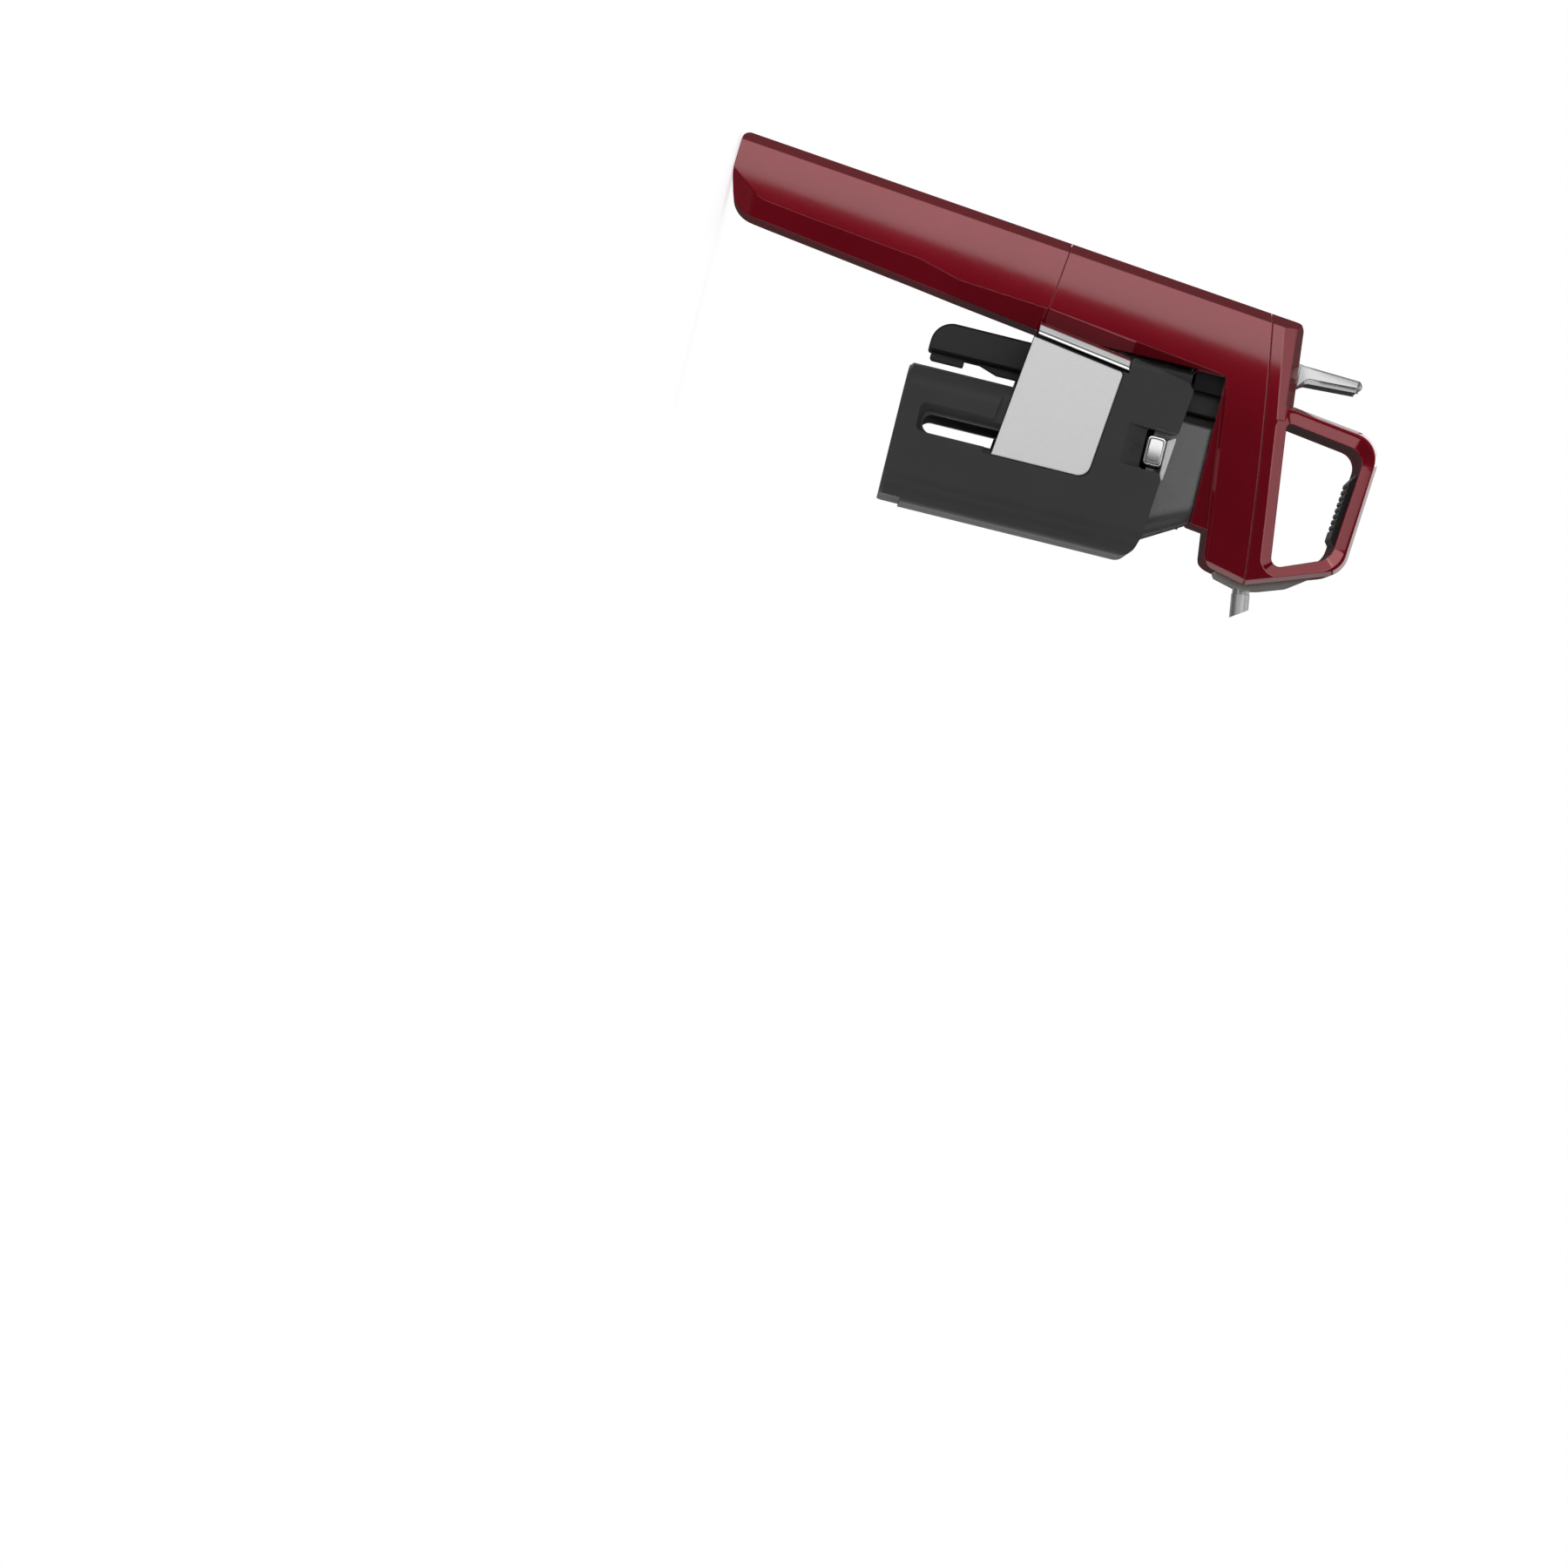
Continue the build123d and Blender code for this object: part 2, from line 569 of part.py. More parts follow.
def handle_housing(form):
    """Painted top of the head with the handle's loop."""
    top = form - seam_below(-SEAM_GAP / 2)
    top += handle_loop() - seam_below(-SEAM_GAP / 2)
    top -= handle_opening()
    top -= head_cavity()
    top -= block(TRIGGER_X - 3.0, TRIGGER_X + 10.4, -TRIGGER_HALF - 0.6, TRIGGER_HALF + 0.6, 30, 60)
    x = HOUSING_SCREW_X
    for y in (HOUSING_SCREW_Y, -HOUSING_SCREW_Y):
        top += rod((x, y, seam_z(x) + 0.8), (x, y, top_z(x) - HEAD_WALL + 0.5), POST_R)
        top -= rod((x, y, BOSS_Z), (x, y, top_z(x) - HEAD_WALL - 1), SCREW_R)
    return top - rod(spout_line(-14), spout_line(6), SPOUT_SHANK_R)


# ================================================================ small parts of the head
def grip_pad():
    """Ribbed rubber pad under the handle's top bar."""
    low, high = GRIP_BACK_X, GRIP_FRONT_X
    inner_back = LOOP_TOP_BACK_X + LOOP_BAR

    def bar_z(x):
        front_top = LOOP_FRONT_TOP_X - LOOP_BAR * 0.7
        drop = (LOOP_FRONT_TOP_Z - LOOP_TOP_Z) / (front_top - inner_back)
        return LOOP_TOP_Z - LOOP_BAR + (x - inner_back) * drop

    pad = slab(
        GRIP_HALF,
        (low, bar_z(low), 0),
        (low + 3, bar_z(low + 3) - GRIP_T, 0.8),
        (high - 2, bar_z(high - 2) - GRIP_T, 0.8),
        (high, bar_z(high), 0),
    )
    rib_pitch, rib = 2.0, 0.45
    for i in range(8):
        x = low + 4.5 + i * rib_pitch
        z = bar_z(x) - GRIP_T
        pad -= rod((x, -GRIP_HALF - 1, z), (x, GRIP_HALF + 1, z), rib)
    return pad


def spout_bezel():
    """Dark strip down the front of the handle's leg and the nose, deepest above the spout."""
    low, high, thick = 38.0, 69.0, 1.7
    low_x = NOSE_X - (NOSE_Z - low) * (NOSE_X - NOSE_LOW_X) / (NOSE_Z - under_z(NOSE_LOW_X))
    strip = slab(
        6.3,
        (low_x, low, 0),
        (NOSE_X, NOSE_Z, 0),
        (nose_x(high), high, 0),
        (nose_x(high - 6.5) + thick + 0.7, high - 6.5, 6.0),
        (nose_x(NOSE_Z + 6) + thick + 0.7, NOSE_Z + 6.0, 12.0),
        (NOSE_X + thick, NOSE_Z, 3.0),
        (low_x + thick, low + 1.0, 0.8),
    )
    return strip - rod(spout_line(-14), spout_line(6), SPOUT_SHANK_R)


def spout_tube():
    """Pouring tube with a shoulder in front of the nose, cut off slantwise."""
    pipe = rod(spout_line(-10), spout_line(SPOUT_SHOULDER), SPOUT_SHANK_R)
    pipe += rod(spout_line(SPOUT_SHOULDER), spout_line(14), SPOUT_R)
    pipe -= rod(spout_line(-11), spout_line(15), SPOUT_BORE_R)
    beyond = slab(10, (24.8, 56.0, 0), (33.8, 43.0, 0), (50, 43.0, 0), (50, 56.0, 0))
    return pipe - beyond


def valve_block():
    """Block that joins needle, valve stem and spout."""
    body = block(BLOCK_BACK_X, BLOCK_FRONT_X, -BLOCK_HALF, BLOCK_HALF, BLOCK_LOW_Z, BLOCK_TOP_Z)
    body = chamfer(body.edges().filter_by(Axis.Z), 1.0)
    body -= rod((BLOCK_BACK_X - 1, 0, STEM_Z), (8, 0, STEM_Z), STEM_BORE_R)
    body -= rod(spout_line(-10), spout_line(6), SPOUT_SHANK_R)
    body -= rod(spout_line(-17), spout_line(-9), 1.2)
    body -= rod((4.0, 0, STEM_Z), (4.0, 0, NOSE_Z - 2), 1.2)
    body -= rod((0, 0, BLOCK_LOW_Z - 1), (0, 0, BLOCK_LOW_Z + 3), 2.4)
    body -= rod((0, 0, BLOCK_LOW_Z), (0, 0, STEM_Z), 0.9)
    return body - rod((BLOCK_BACK_X - 1, GAS_PORT_Y, GAS_PORT_Z), (1, GAS_PORT_Y, GAS_PORT_Z), GAS_TUBE_R)


def valve_stem():
    """Push rod that the trigger drives and that opens the wine and gas ways."""
    start = TRIGGER_X + TRIGGER_NOSE + 0.15
    stem = rod((start, 0, STEM_Z), (3.0, 0, STEM_Z), STEM_R)
    stem += rod((-20.0, 0, STEM_Z), (-18.8, 0, STEM_Z), 3.4)
    for x in STEM_RING_X:
        stem -= tube((x - 0.6, 0, STEM_Z), (x + 0.6, 0, STEM_Z), STEM_R + 1, STEM_R - 0.6)
    return stem


def stem_seals():
    """O-rings in the stem's grooves."""
    rings = []
    for x in STEM_RING_X:
        outer = STEM_BORE_R - RUN_GAP
        rings += tube((x - 0.6, 0, STEM_Z), (x + 0.6, 0, STEM_Z), outer, STEM_R - 0.6).solids()
    return Compound(children=rings)


def stem_spring():
    """Return spring between the stem's flange and the valve block, drawn as long as when pressed."""
    return coil((-16.6, 0, STEM_Z), (BLOCK_BACK_X, 0, STEM_Z), 3.0, 0.4, 6)


def needle_hub():
    """Threaded hub that carries the needle."""
    hub = rod((0, 0, BOSS_Z + 0.6), (0, 0, BLOCK_LOW_Z), HUB_R)
    hub += rod((0, 0, BLOCK_LOW_Z), (0, 0, BLOCK_LOW_Z + 3), 2.4)
    flats = block(-3.1, 3.1, -5, 5, BOSS_Z, BOSS_Z + 3.6)
    hub = (hub & flats) + (hub - block(-9, 9, -9, 9, BOSS_Z, BOSS_Z + 3.6))
    return hub - rod((0, 0, 0), (0, 0, 60), NEEDLE_R)


def needle():
    """Hollow needle with a closed point and a side port."""
    top = BLOCK_LOW_Z + 3
    point = 4.0
    body = rod((0, 0, NEEDLE_TIP_Z + point), (0, 0, top), NEEDLE_R)
    body += cone_on((0, 0, NEEDLE_TIP_Z), (0, 0, NEEDLE_TIP_Z + point), 0.12, NEEDLE_R)
    body -= rod((0, 0, NEEDLE_TIP_Z + point + 1), (0, 0, top + 1), NEEDLE_BORE_R)
    port = NEEDLE_TIP_Z + point + 2.2
    return body - block(0, 2, -0.3, 0.3, port, port + 2.4)


def trigger():
    """Plated lever: a blade through the head's top, a pivot boss and a nose that pushes the stem."""
    x, z = TRIGGER_X, TRIGGER_Z
    tip = TRIGGER_TIP_Z
    blade = slab(
        TRIGGER_HALF,
        (x - 1.6, top_z(x) + 1.6, 0),
        (x - 0.9, tip - 1.0, 1.2),
        (x + 1.2, tip + 0.2, 1.2),
        (x + 3.0, tip - 1.6, 1.2),
        (x + 3.9, top_z(x) + 3.6, 0.8),
        (x + 6.3, top_z(x) + 0.8, 0.9),
        (x + 6.0, top_z(x) - 1.7, 0.8),
        (x + 2.2, top_z(x) - 3.3, 0.6),
        (x + 2.0, z, 0),
        (x - 2.4, z, 0),
        (x - 2.2, top_z(x) - 2.6, 0),
    )
    boss = rod((x, -TRIGGER_HALF, z), (x, TRIGGER_HALF, z), 3.2)
    nose = rod((x + TRIGGER_NOSE - 1.4, -2, STEM_Z), (x + TRIGGER_NOSE - 1.4, 2, STEM_Z), 1.4)
    low = top_z(x) + 1.6
    edges = [
        e for e in blade.edges()
        if abs(abs((e @ 0.5).Y) - TRIGGER_HALF) < 0.01
        and (e @ 0.5).Z > z + 0.1
        and not ((e @ 0.5).X < x - 1.5 and (e @ 0.5).Z < low)
    ]
    lever = chamfer(edges, 0.5) + boss + nose
    return lever - rod((x, -20, z), (x, 20, z), TRIGGER_PIN_R + RUN_GAP)


def trigger_pin():
    """Steel pivot of the trigger."""
    y = BODY_HALF - 1.0
    return rod((TRIGGER_X, -y, TRIGGER_Z), (TRIGGER_X, y, TRIGGER_Z), TRIGGER_PIN_R)


def trigger_spring():
    """Torsion spring round the pin, beside the trigger's boss."""
    low, high = TRIGGER_HALF + 0.2, BODY_HALF - 2.9
    return coil((TRIGGER_X, low, TRIGGER_Z), (TRIGGER_X, high, TRIGGER_Z), 2.4, 0.4, 4)


def rail():
    """Black guide rail that the clamp slides on."""
    bar = slab(
        RAIL_HALF,
        (RAIL_BACK_X, RAIL_TOP_Z, 0),
        (RAIL_FRONT_X, RAIL_TOP_Z, 0),
        (RAIL_FRONT_X, RAIL_END_Z, 1.0),
        (RAIL_BACK_X, RAIL_END_Z, 7.0),
    )
    bar = chamfer(bar.edges().filter_by(Axis.Z), 0.7)
    for x in RAIL_SCREW_X:
        bar -= rod((x, 0, RAIL_TOP_Z - 10), (x, 0, RAIL_TOP_Z), SCREW_R)
    return bar


def rail_cam():
    """Cam strip on the rail's front, with the notch and foot that work the jaws."""
    foot = CAM_X + 0.2
    notch = RAIL_FRONT_X + 0.6
    return slab(
        CAM_HALF,
        (RAIL_FRONT_X, CAM_TOP_Z, 0),
        (RAIL_FRONT_X, RAIL_END_Z + 1.2, 0),
        (foot, RAIL_END_Z + 1.0, 1.2),
        (foot, -56.0, 0.4),
        (notch, -56.0, 0),
        (notch, -50.8, 0),
        (CAM_X, -44.9, 0),
        (CAM_X, CAM_TOP_Z, 0),
    )


def rail_screws():
    """Screws that hold the rail, from inside the head."""
    top = RAIL_TOP_Z + FLOOR_T + SCREW_HEAD_H
    return Compound(children=[screw((x, 0, top), (x, 0, RAIL_TOP_Z - 10)) for x in RAIL_SCREW_X])


def housing_screws():
    """Screws that join the two halves of the head, from under the boss."""
    x, y = HOUSING_SCREW_X, HOUSING_SCREW_Y
    return both_sides(screw((x, y, BOSS_Z), (x, y, top_z(x) - HEAD_WALL - 2)))


def gas_tube():
    """Pipe from the regulator up to the valve block."""
    start = arm_axis(-COLLAR_ABOVE - 6.2)
    side_x, side_y = TRIGGER_X - 6.6, GAS_TUBE_Y
    points = [
        start,
        (start[0] + 0.8, 0, start[2] + 7),
        (side_x, side_y, 15.0),
        (side_x, side_y, STEM_Z - 4.0),
        (TRIGGER_X + 1.0, side_y, GAS_PORT_Z - 2.5),
        (-36.0, side_y, GAS_PORT_Z - 1.0),
        (-24.0, GAS_PORT_Y, GAS_PORT_Z),
        (1.0, GAS_PORT_Y, GAS_PORT_Z),
    ]
    path = FilletPolyline(*points, radius=3.0)
    section = Plane(origin=path @ 0, z_dir=path % 0) * Circle(GAS_TUBE_R)
    return sweep(section, path=path)


# ================================================================ capsule arm
def capsule_cup(form):
    """Painted cup that screws on over the gas capsule."""
    cup = form & cup_side(SEAM_GAP / 2)
    cup -= arm_rod(-1, LINER_LENGTH + 1, LINER_R)
    return cup - arm_rod(0, CAPSULE_END + CUSHION_T, CAPSULE_R + CAPSULE_ROOM)


def cup_liner():
    """Threaded metal liner pressed into the cup."""
    return arm_rod(1.0, LINER_LENGTH + 1, LINER_R) - arm_rod(0, LINER_LENGTH + 2, COLLAR_R + RUN_GAP)


def cup_cushion():
    """Rubber cushion under the capsule."""
    pad = arm_rod(CAPSULE_END, CAPSULE_END + CUSHION_T, CAPSULE_R + CAPSULE_ROOM)
    centre = arm_axis(CAPSULE_END - CAPSULE_R * 0.55)
    hollow = Plane(origin=centre, z_dir=ARM.z_dir) * Sphere(CAPSULE_R + 0.6)
    return pad - hollow


def gas_capsule():
    """Steel gas capsule, pierced at its tip."""
    r, n, wall = CAPSULE_R, CAPSULE_NECK_R, CAPSULE_WALL
    length = CAPSULE_LENGTH
    outer = outline((0, 0, 0), (n, 0, 0.8), (n, 10.0, 3.0), (r, 19.0, 6.0), (r, length, 7.0), (0, length, 0))
    i_r, i_n = r - wall, n - wall
    inner = outline(
        (0, 2.0, 0), (i_n, 2.0, 0.5), (i_n, 10.4, 3.0), (i_r, 19.2, 6.0), (i_r, length - wall, 6.0),
        (0, length - wall, 0),
    )
    shell = revolve(Plane.XZ * outer, Axis.Z) - revolve(Plane.XZ * inner, Axis.Z)
    shell -= Cylinder(LANCE_R + 0.1, 6)
    return Plane(origin=arm_axis(CAPSULE_TOP), z_dir=ARM.z_dir) * shell


def regulator_body():
    """Pressure regulator with the collar that the cup screws onto."""
    body = arm_rod(-COLLAR_ABOVE, COLLAR_BELOW, COLLAR_R)
    body += arm_rod(-COLLAR_ABOVE - 6, -COLLAR_ABOVE, 4.0)
    body -= arm_rod(CAPSULE_TOP - 2.5, COLLAR_BELOW + 1, CAPSULE_NECK_R + 0.4)
    body -= arm_rod(-COLLAR_ABOVE + 4, CAPSULE_TOP - 12, 6.5)
    body -= arm_rod(-COLLAR_ABOVE - 7, CAPSULE_TOP, 1.0)
    body -= arm_rod(CAPSULE_TOP - 6, CAPSULE_TOP - 2, LANCE_R + 1.0)
    pitch, depth = 2.0, 0.45
    for i in range(14):
        down = 3.0 + i * pitch
        body -= arm_rod(down, down + 0.9, COLLAR_R + 1) - arm_rod(down, down + 0.9, COLLAR_R - depth)
    return body


def piercing_lance():
    """Hollow lance that opens the capsule."""
    lance = arm_rod(CAPSULE_TOP - 6, CAPSULE_TOP - 2.5, LANCE_R + 1.0)
    lance += rod(arm_axis(CAPSULE_TOP - 2.5), arm_axis(CAPSULE_TOP + 1.0), LANCE_R)
    lance += cone_on(arm_axis(CAPSULE_TOP + 1.0), arm_axis(CAPSULE_TOP + 3.0), LANCE_R, 0.5)
    return lance - arm_rod(CAPSULE_TOP - 7, CAPSULE_TOP + 4, 0.4)


def capsule_seal():
    """Rubber ring that the capsule's tip presses on."""
    return arm_rod(CAPSULE_TOP - 2.5, CAPSULE_TOP - 0.1, CAPSULE_NECK_R + 0.4) - arm_rod(
        CAPSULE_TOP - 3, CAPSULE_TOP + 1, LANCE_R + 0.1)


def regulator_piston():
    """Piston that holds the pouring pressure."""
    piston = arm_rod(-4.0, 0.0, 6.5 - RUN_GAP) + arm_rod(0.0, 6.0, 2.2)
    return piston - arm_rod(-5, 7, 0.6)


def regulator_spring():
    """Spring over the piston."""
    return coil(arm_axis(-COLLAR_ABOVE + 4), arm_axis(-4.0), 4.6, 0.55, 4)


# ================================================================ clamp base
def channel_block():
    """Outside of the block that the rail runs through, with the jaws' hinge lugs."""
    rear, front = RAIL_BACK_X - SLIDE_GAP - CHANNEL_WALL, CHANNEL_FRONT_X
    body = prism(
        CHANNEL_LOW_Z, CHANNEL_TOP_Z,
        (rear, -CHANNEL_HALF, 2.0), (front, -CHANNEL_HALF, 1.0),
        (front, CHANNEL_HALF, 1.0), (rear, CHANNEL_HALF, 2.0),
    )
    for low, high in LUG_SPANS:
        for side in (1, -1):
            eye = rod((HINGE_X, side * HINGE_Y, low), (HINGE_X, side * HINGE_Y, high), LUG_R)
            inner, outer = sorted((0, side * HINGE_Y))
            body += eye + block(HINGE_X - 2.6, HINGE_X + 2.6, inner, outer, low, high)
    return body


def base_frame():
    """Clamp's frame: rail channel, hinge lugs, bridge and the flange that seats on the mouth."""
    frame = channel_block()
    frame += block(CHANNEL_FRONT_X - 0.5, -GUIDE_R - 1, -BRIDGE_HALF, BRIDGE_HALF, 0, BRIDGE_TOP_Z)
    frame += rod((0, 0, 0), (0, 0, SEAT_T), SEAT_R)
    frame += rod((0, 0, SEAT_T), (0, 0, BRIDGE_TOP_Z), GUIDE_R + 3.0)
    g = SLIDE_GAP
    low, high = CHANNEL_LOW_Z - 1, BRIDGE_TOP_Z + 1
    frame -= block(RAIL_BACK_X - g, RAIL_FRONT_X + g, -RAIL_HALF - g, RAIL_HALF + g, low, high)
    frame -= block(RAIL_FRONT_X, CAM_X + CAM_ROOM, -CAM_HALF - g, CAM_HALF + g, low, high)
    frame -= glide_pads(SLIDE_GAP - RUN_GAP)
    for side in (1, -1):
        frame -= rod((HINGE_X, side * HINGE_Y, low), (HINGE_X, side * HINGE_Y, high), HINGE_R)
        frame -= button_shape(side, BUTTON_GAP)
    frame -= rod((0, 0, -1), (0, 0, GUIDE_TOP_Z), GUIDE_R)
    frame -= rod((0, 0, -1), (0, 0, high), NEEDLE_R + 1.2)
    frame -= cup_sweep()
    return frame - tube((0, 0, -1), (0, 0, MOUTH_SEAL_T), MOUTH_SEAL_OUT_R, MOUTH_SEAL_IN_R)


def cup_sweep():
    """Space that the cup's corners pass through as it unscrews."""
    return arm_rod(-0.4, LINER_LENGTH, CUP_TURN_R)


def glide_pads(back=0.0):
    """Low-friction pads in the channel's walls, or their pockets when drawn back towards the rail."""
    inner = RAIL_HALF + RUN_GAP - back
    pads = []
    for low, high in GLIDE_SPANS:
        pads.append(block(GLIDE_X[0], GLIDE_X[1], inner, RAIL_HALF + GLIDE_T, low, high))
    return both_sides(Compound(children=pads))


def mouth_seal():
    """Rubber ring that the bottle's lip meets."""
    return tube((0, 0, 0), (0, 0, MOUTH_SEAL_T), MOUTH_SEAL_OUT_R, MOUTH_SEAL_IN_R)


def needle_guide():
    """Bush that keeps the needle straight."""
    guide = rod((0, 0, 0), (0, 0, GUIDE_TOP_Z), GUIDE_R) - rod((0, 0, -1), (0, 0, 30), NEEDLE_R + 0.2)
    return guide - cone_on((0, 0, GUIDE_TOP_Z - 4), (0, 0, GUIDE_TOP_Z + 0.5), NEEDLE_R, 3.4)


def cone_solid(inset):
    """Cover between flange and head: wide and round below, narrow above. Inset shrinks it."""
    rear = CAM_X + 0.7 + inset
    low = cone_section(SEAT_T, rear, 16.4 - inset, 15.2 - inset, 9.0)
    high = cone_section(SLEEVE_STOP_Z, rear, BOSS_FRONT_X - 0.1 - inset, 10.0 - inset, 6.0)
    return loft([low, high], ruled=True)


def cone_section(z, rear, front, half, radius):
    """Plan outline of the cone at one height."""
    return Pos(0, 0, z) * outline(
        (rear, -half, 1.0), (front, -half, radius), (front, half, radius), (rear, half, 1.0))


def neck_cone(frame):
    """Grey cover over the needle guide."""
    wall = 2.0
    shell = cone_solid(0) - (cone_solid(wall) & block(-60, 60, -60, 60, 0, SLEEVE_STOP_Z - wall))
    shell -= block(-60, -GUIDE_R, -BRIDGE_HALF, BRIDGE_HALF, 0, BRIDGE_TOP_Z)
    shell -= frame
    for side in (1, -1):
        shell -= button_shape(side, BUTTON_GAP)
    return shell - rod((0, 0, 0), (0, 0, 40), NEEDLE_R + 1.2)


def button_shape(side, grow):
    """Rounded bar of one release button, grown all round for its hole."""
    x0, x1 = BUTTON_BACK_X - grow, BUTTON_FRONT_X + grow
    z0, z1 = BUTTON_LOW_Z - grow, BUTTON_TOP_Z + grow
    inner = BUTTON_IN_Y - (BUTTON_TRAVEL + 3 * grow if grow else 0)
    bar = side_slab(inner, BUTTON_OUT_Y, (x0, z0, 1.4), (x1, z0, 1.4), (x1, z1, 1.4), (x0, z1, 1.4))
    return bar if side > 0 else mirror(bar, about=Plane.XZ)


def release_button():
    """Plated button in the jaw's notch, on the +Y side."""
    bar = button_shape(1, 0)
    face = bar.faces().sort_by(Axis.Y)[-1]
    x, z = button_middle()
    spring_room = rod((x, BUTTON_IN_Y - 1, z), (x, BUTTON_IN_Y + BUTTON_BORE, z), BUTTON_SPRING_R + 0.6)
    return fillet(face.edges(), 0.6) - spring_room


def button_middle():
    """X and Z of the button's middle."""
    return (BUTTON_BACK_X + BUTTON_FRONT_X) / 2, (BUTTON_LOW_Z + BUTTON_TOP_Z) / 2


def button_spring():
    """Spring in the button's bore, drawn as long as when pressed."""
    x, z = button_middle()
    end = BUTTON_IN_Y + BUTTON_BORE - BUTTON_TRAVEL - RUN_GAP
    return coil((x, BRIDGE_HALF, z), (x, end, z), BUTTON_SPRING_R, 0.3, 4)


def button_trim():
    """Plated sill above the button, on the cone's side."""
    sill = side_slab(
        13.0, 17.4,
        (BUTTON_BACK_X - 1.3, BUTTON_TOP_Z + 3.1, 0.4), (BUTTON_FRONT_X + 5.2, BUTTON_TOP_Z + 1.6, 0.4),
        (BUTTON_FRONT_X + 1.6, BUTTON_TOP_Z + 0.5, 0), (BUTTON_BACK_X + 0.4, BUTTON_TOP_Z + 0.5, 0),
    )
    return sill - cone_solid(0)


def side_band():
    """Plated band beside the arm, from the channel block round to the jaw's plate, +Y side."""
    x = groove_x(BAND_TOP_Z) - 0.5
    rear = x - 4.4
    outer_y = JAW_HALF - 0.4
    section = Pos(0, 0, BAND_TOP_Z) * outline(
        (rear, CHANNEL_HALF, 0),
        (rear, outer_y - 3.6, 4.5),
        (x - 1.0, outer_y, 2.0),
        (x, outer_y, 0),
        (x, outer_y - BAND_T, 0),
        (x - 1.2, outer_y - BAND_T, 1.2),
        (rear + BAND_T, outer_y - 4.2, 3.6),
        (rear + BAND_T, CHANNEL_HALF, 0),
    )
    drop = BAND_TOP_Z - BAND_LOW_Z
    lean = groove_x(BAND_TOP_Z) - groove_x(BAND_LOW_Z)
    return extrude(section, amount=hypot(drop, lean), dir=(-lean, 0, -drop)) - cup_sweep()


def groove_x(z):
    """Line between the side band and the jaw's plate, which leans with the arm."""
    return -35.5 + (z + 5.0) * 0.145


# ================================================================ jaws
def jaw_plan(rear, radius):
    """Plan outline of one jaw, +Y side."""
    return (
        (rear, JAW_SPLIT, 0),
        (rear, JAW_HALF, radius),
        (JAW_FRONT_X, JAW_HALF, 8.5),
        (JAW_FRONT_X, JAW_SPLIT, 0),
    )


def plate_low_z(x):
    """Lower edge of the jaw's plate."""
    return -41.0 - x * 0.112


def jaw_shell():
    """Black jaw on the +Y side."""
    rear_top = -36.6
    upper_view = side_slab(
        JAW_SPLIT, JAW_HALF + 1,
        (groove_x(-37.0) + 0.5, plate_low_z(groove_x(-37.0) + 0.5), 0),
        (groove_x(-4.4) + 0.5, -4.4, 0),
        (-40.4, -4.0, 0),
        (rear_top, 14.6, 0),
        (-34.6, 16.7, 1.0),
        (-20.0, 15.2, 0),
        (-6.0, 12.4, 0),
        (-4.6, 13.2, 0.6),
        (13.6, JAW_TOP_Z - 1.0, 1.0),
        (JAW_FRONT_X, JAW_TOP_Z - 3.2, 5.0),
        (JAW_FRONT_X, plate_low_z(0), 0),
        (0, plate_low_z(0), 0),
    )
    shell = upper_view & prism(JAW_LOW_Z, 20, *jaw_plan(-41.0, 3.5))
    lower = prism(JAW_LOW_Z, -38.0, *jaw_plan(JAW_REAR_X, 7.5))
    foot = lower.faces().sort_by(Axis.Z)[0]
    rim = [e for e in foot.edges() if (e @ 0.5).Y > JAW_SPLIT + 0.1]
    shell += chamfer(rim, 1.2)
    shell -= block(JAW_FRONT_X - 1.1, JAW_FRONT_X + 1, -1, JAW_HALF + 1, JAW_LOW_Z - 1, JAW_LOW_Z + 7.2)
    shell -= rod((0, 0, JAW_LOW_Z - 1), (0, 0, SEAT_T + 0.3), CAVITY_R)
    cone_room = cone_solid(-0.4)
    shell -= cone_room
    shell -= Pos(-0.8, 0, 0) * cone_room
    inner = CHANNEL_HALF + 1.6
    behind = JAW_REAR_X - 0.5
    shell -= block(-60, -14, -1, inner, plate_low_z(0) + 4.4, 30)
    return shell - block(-60, behind, -1, inner, -60, 30)


def jaw():
    """Jaw with its hinge slots, window, notch, scoop and the recess for its plate."""
    shell = jaw_shell()
    back, front = HINGE_X - LUG_R - 1.3, HINGE_X + LUG_R + 1.3
    for low, high in LUG_SPANS:
        shell -= block(back, front, -1, HINGE_Y + LUG_R + 0.6, low - 0.3, high + SPRING_ROOM)
    shell -= rod((HINGE_X, HINGE_Y, -50), (HINGE_X, HINGE_Y, PIN_TOP_Z), HINGE_R + RUN_GAP)
    shell -= plate_outline(PLATE_GAP, JAW_HALF - PLATE_T, JAW_HALF + 2)
    shell -= window_cut()
    shell -= button_notch()
    return shell + chevron()


def plate_outline(gap, low_y, high_y):
    """The plate's side view, grown by a gap along its back, top and front edges."""
    top, low = -6.4 + gap, -37.0
    rear_x = groove_x(low) + 0.9
    past = 3.0 if gap else 0.0
    return side_slab(
        low_y, high_y,
        (rear_x - gap - past * 0.145, plate_low_z(rear_x) - past, 0),
        (groove_x(top) + 0.9 - gap, top, 1.2),
        (0.3 + gap, top - 3.4, 4.0),
        (0.3 + gap, plate_low_z(0.3) - past, 0),
    )


def jaw_plate():
    """Plain satin plate on the +Y jaw."""
    plate = plate_outline(0, JAW_HALF - PLATE_T, JAW_HALF)
    face = plate.faces().sort_by(Axis.Y)[-1]
    return chamfer(face.edges(), 0.25)


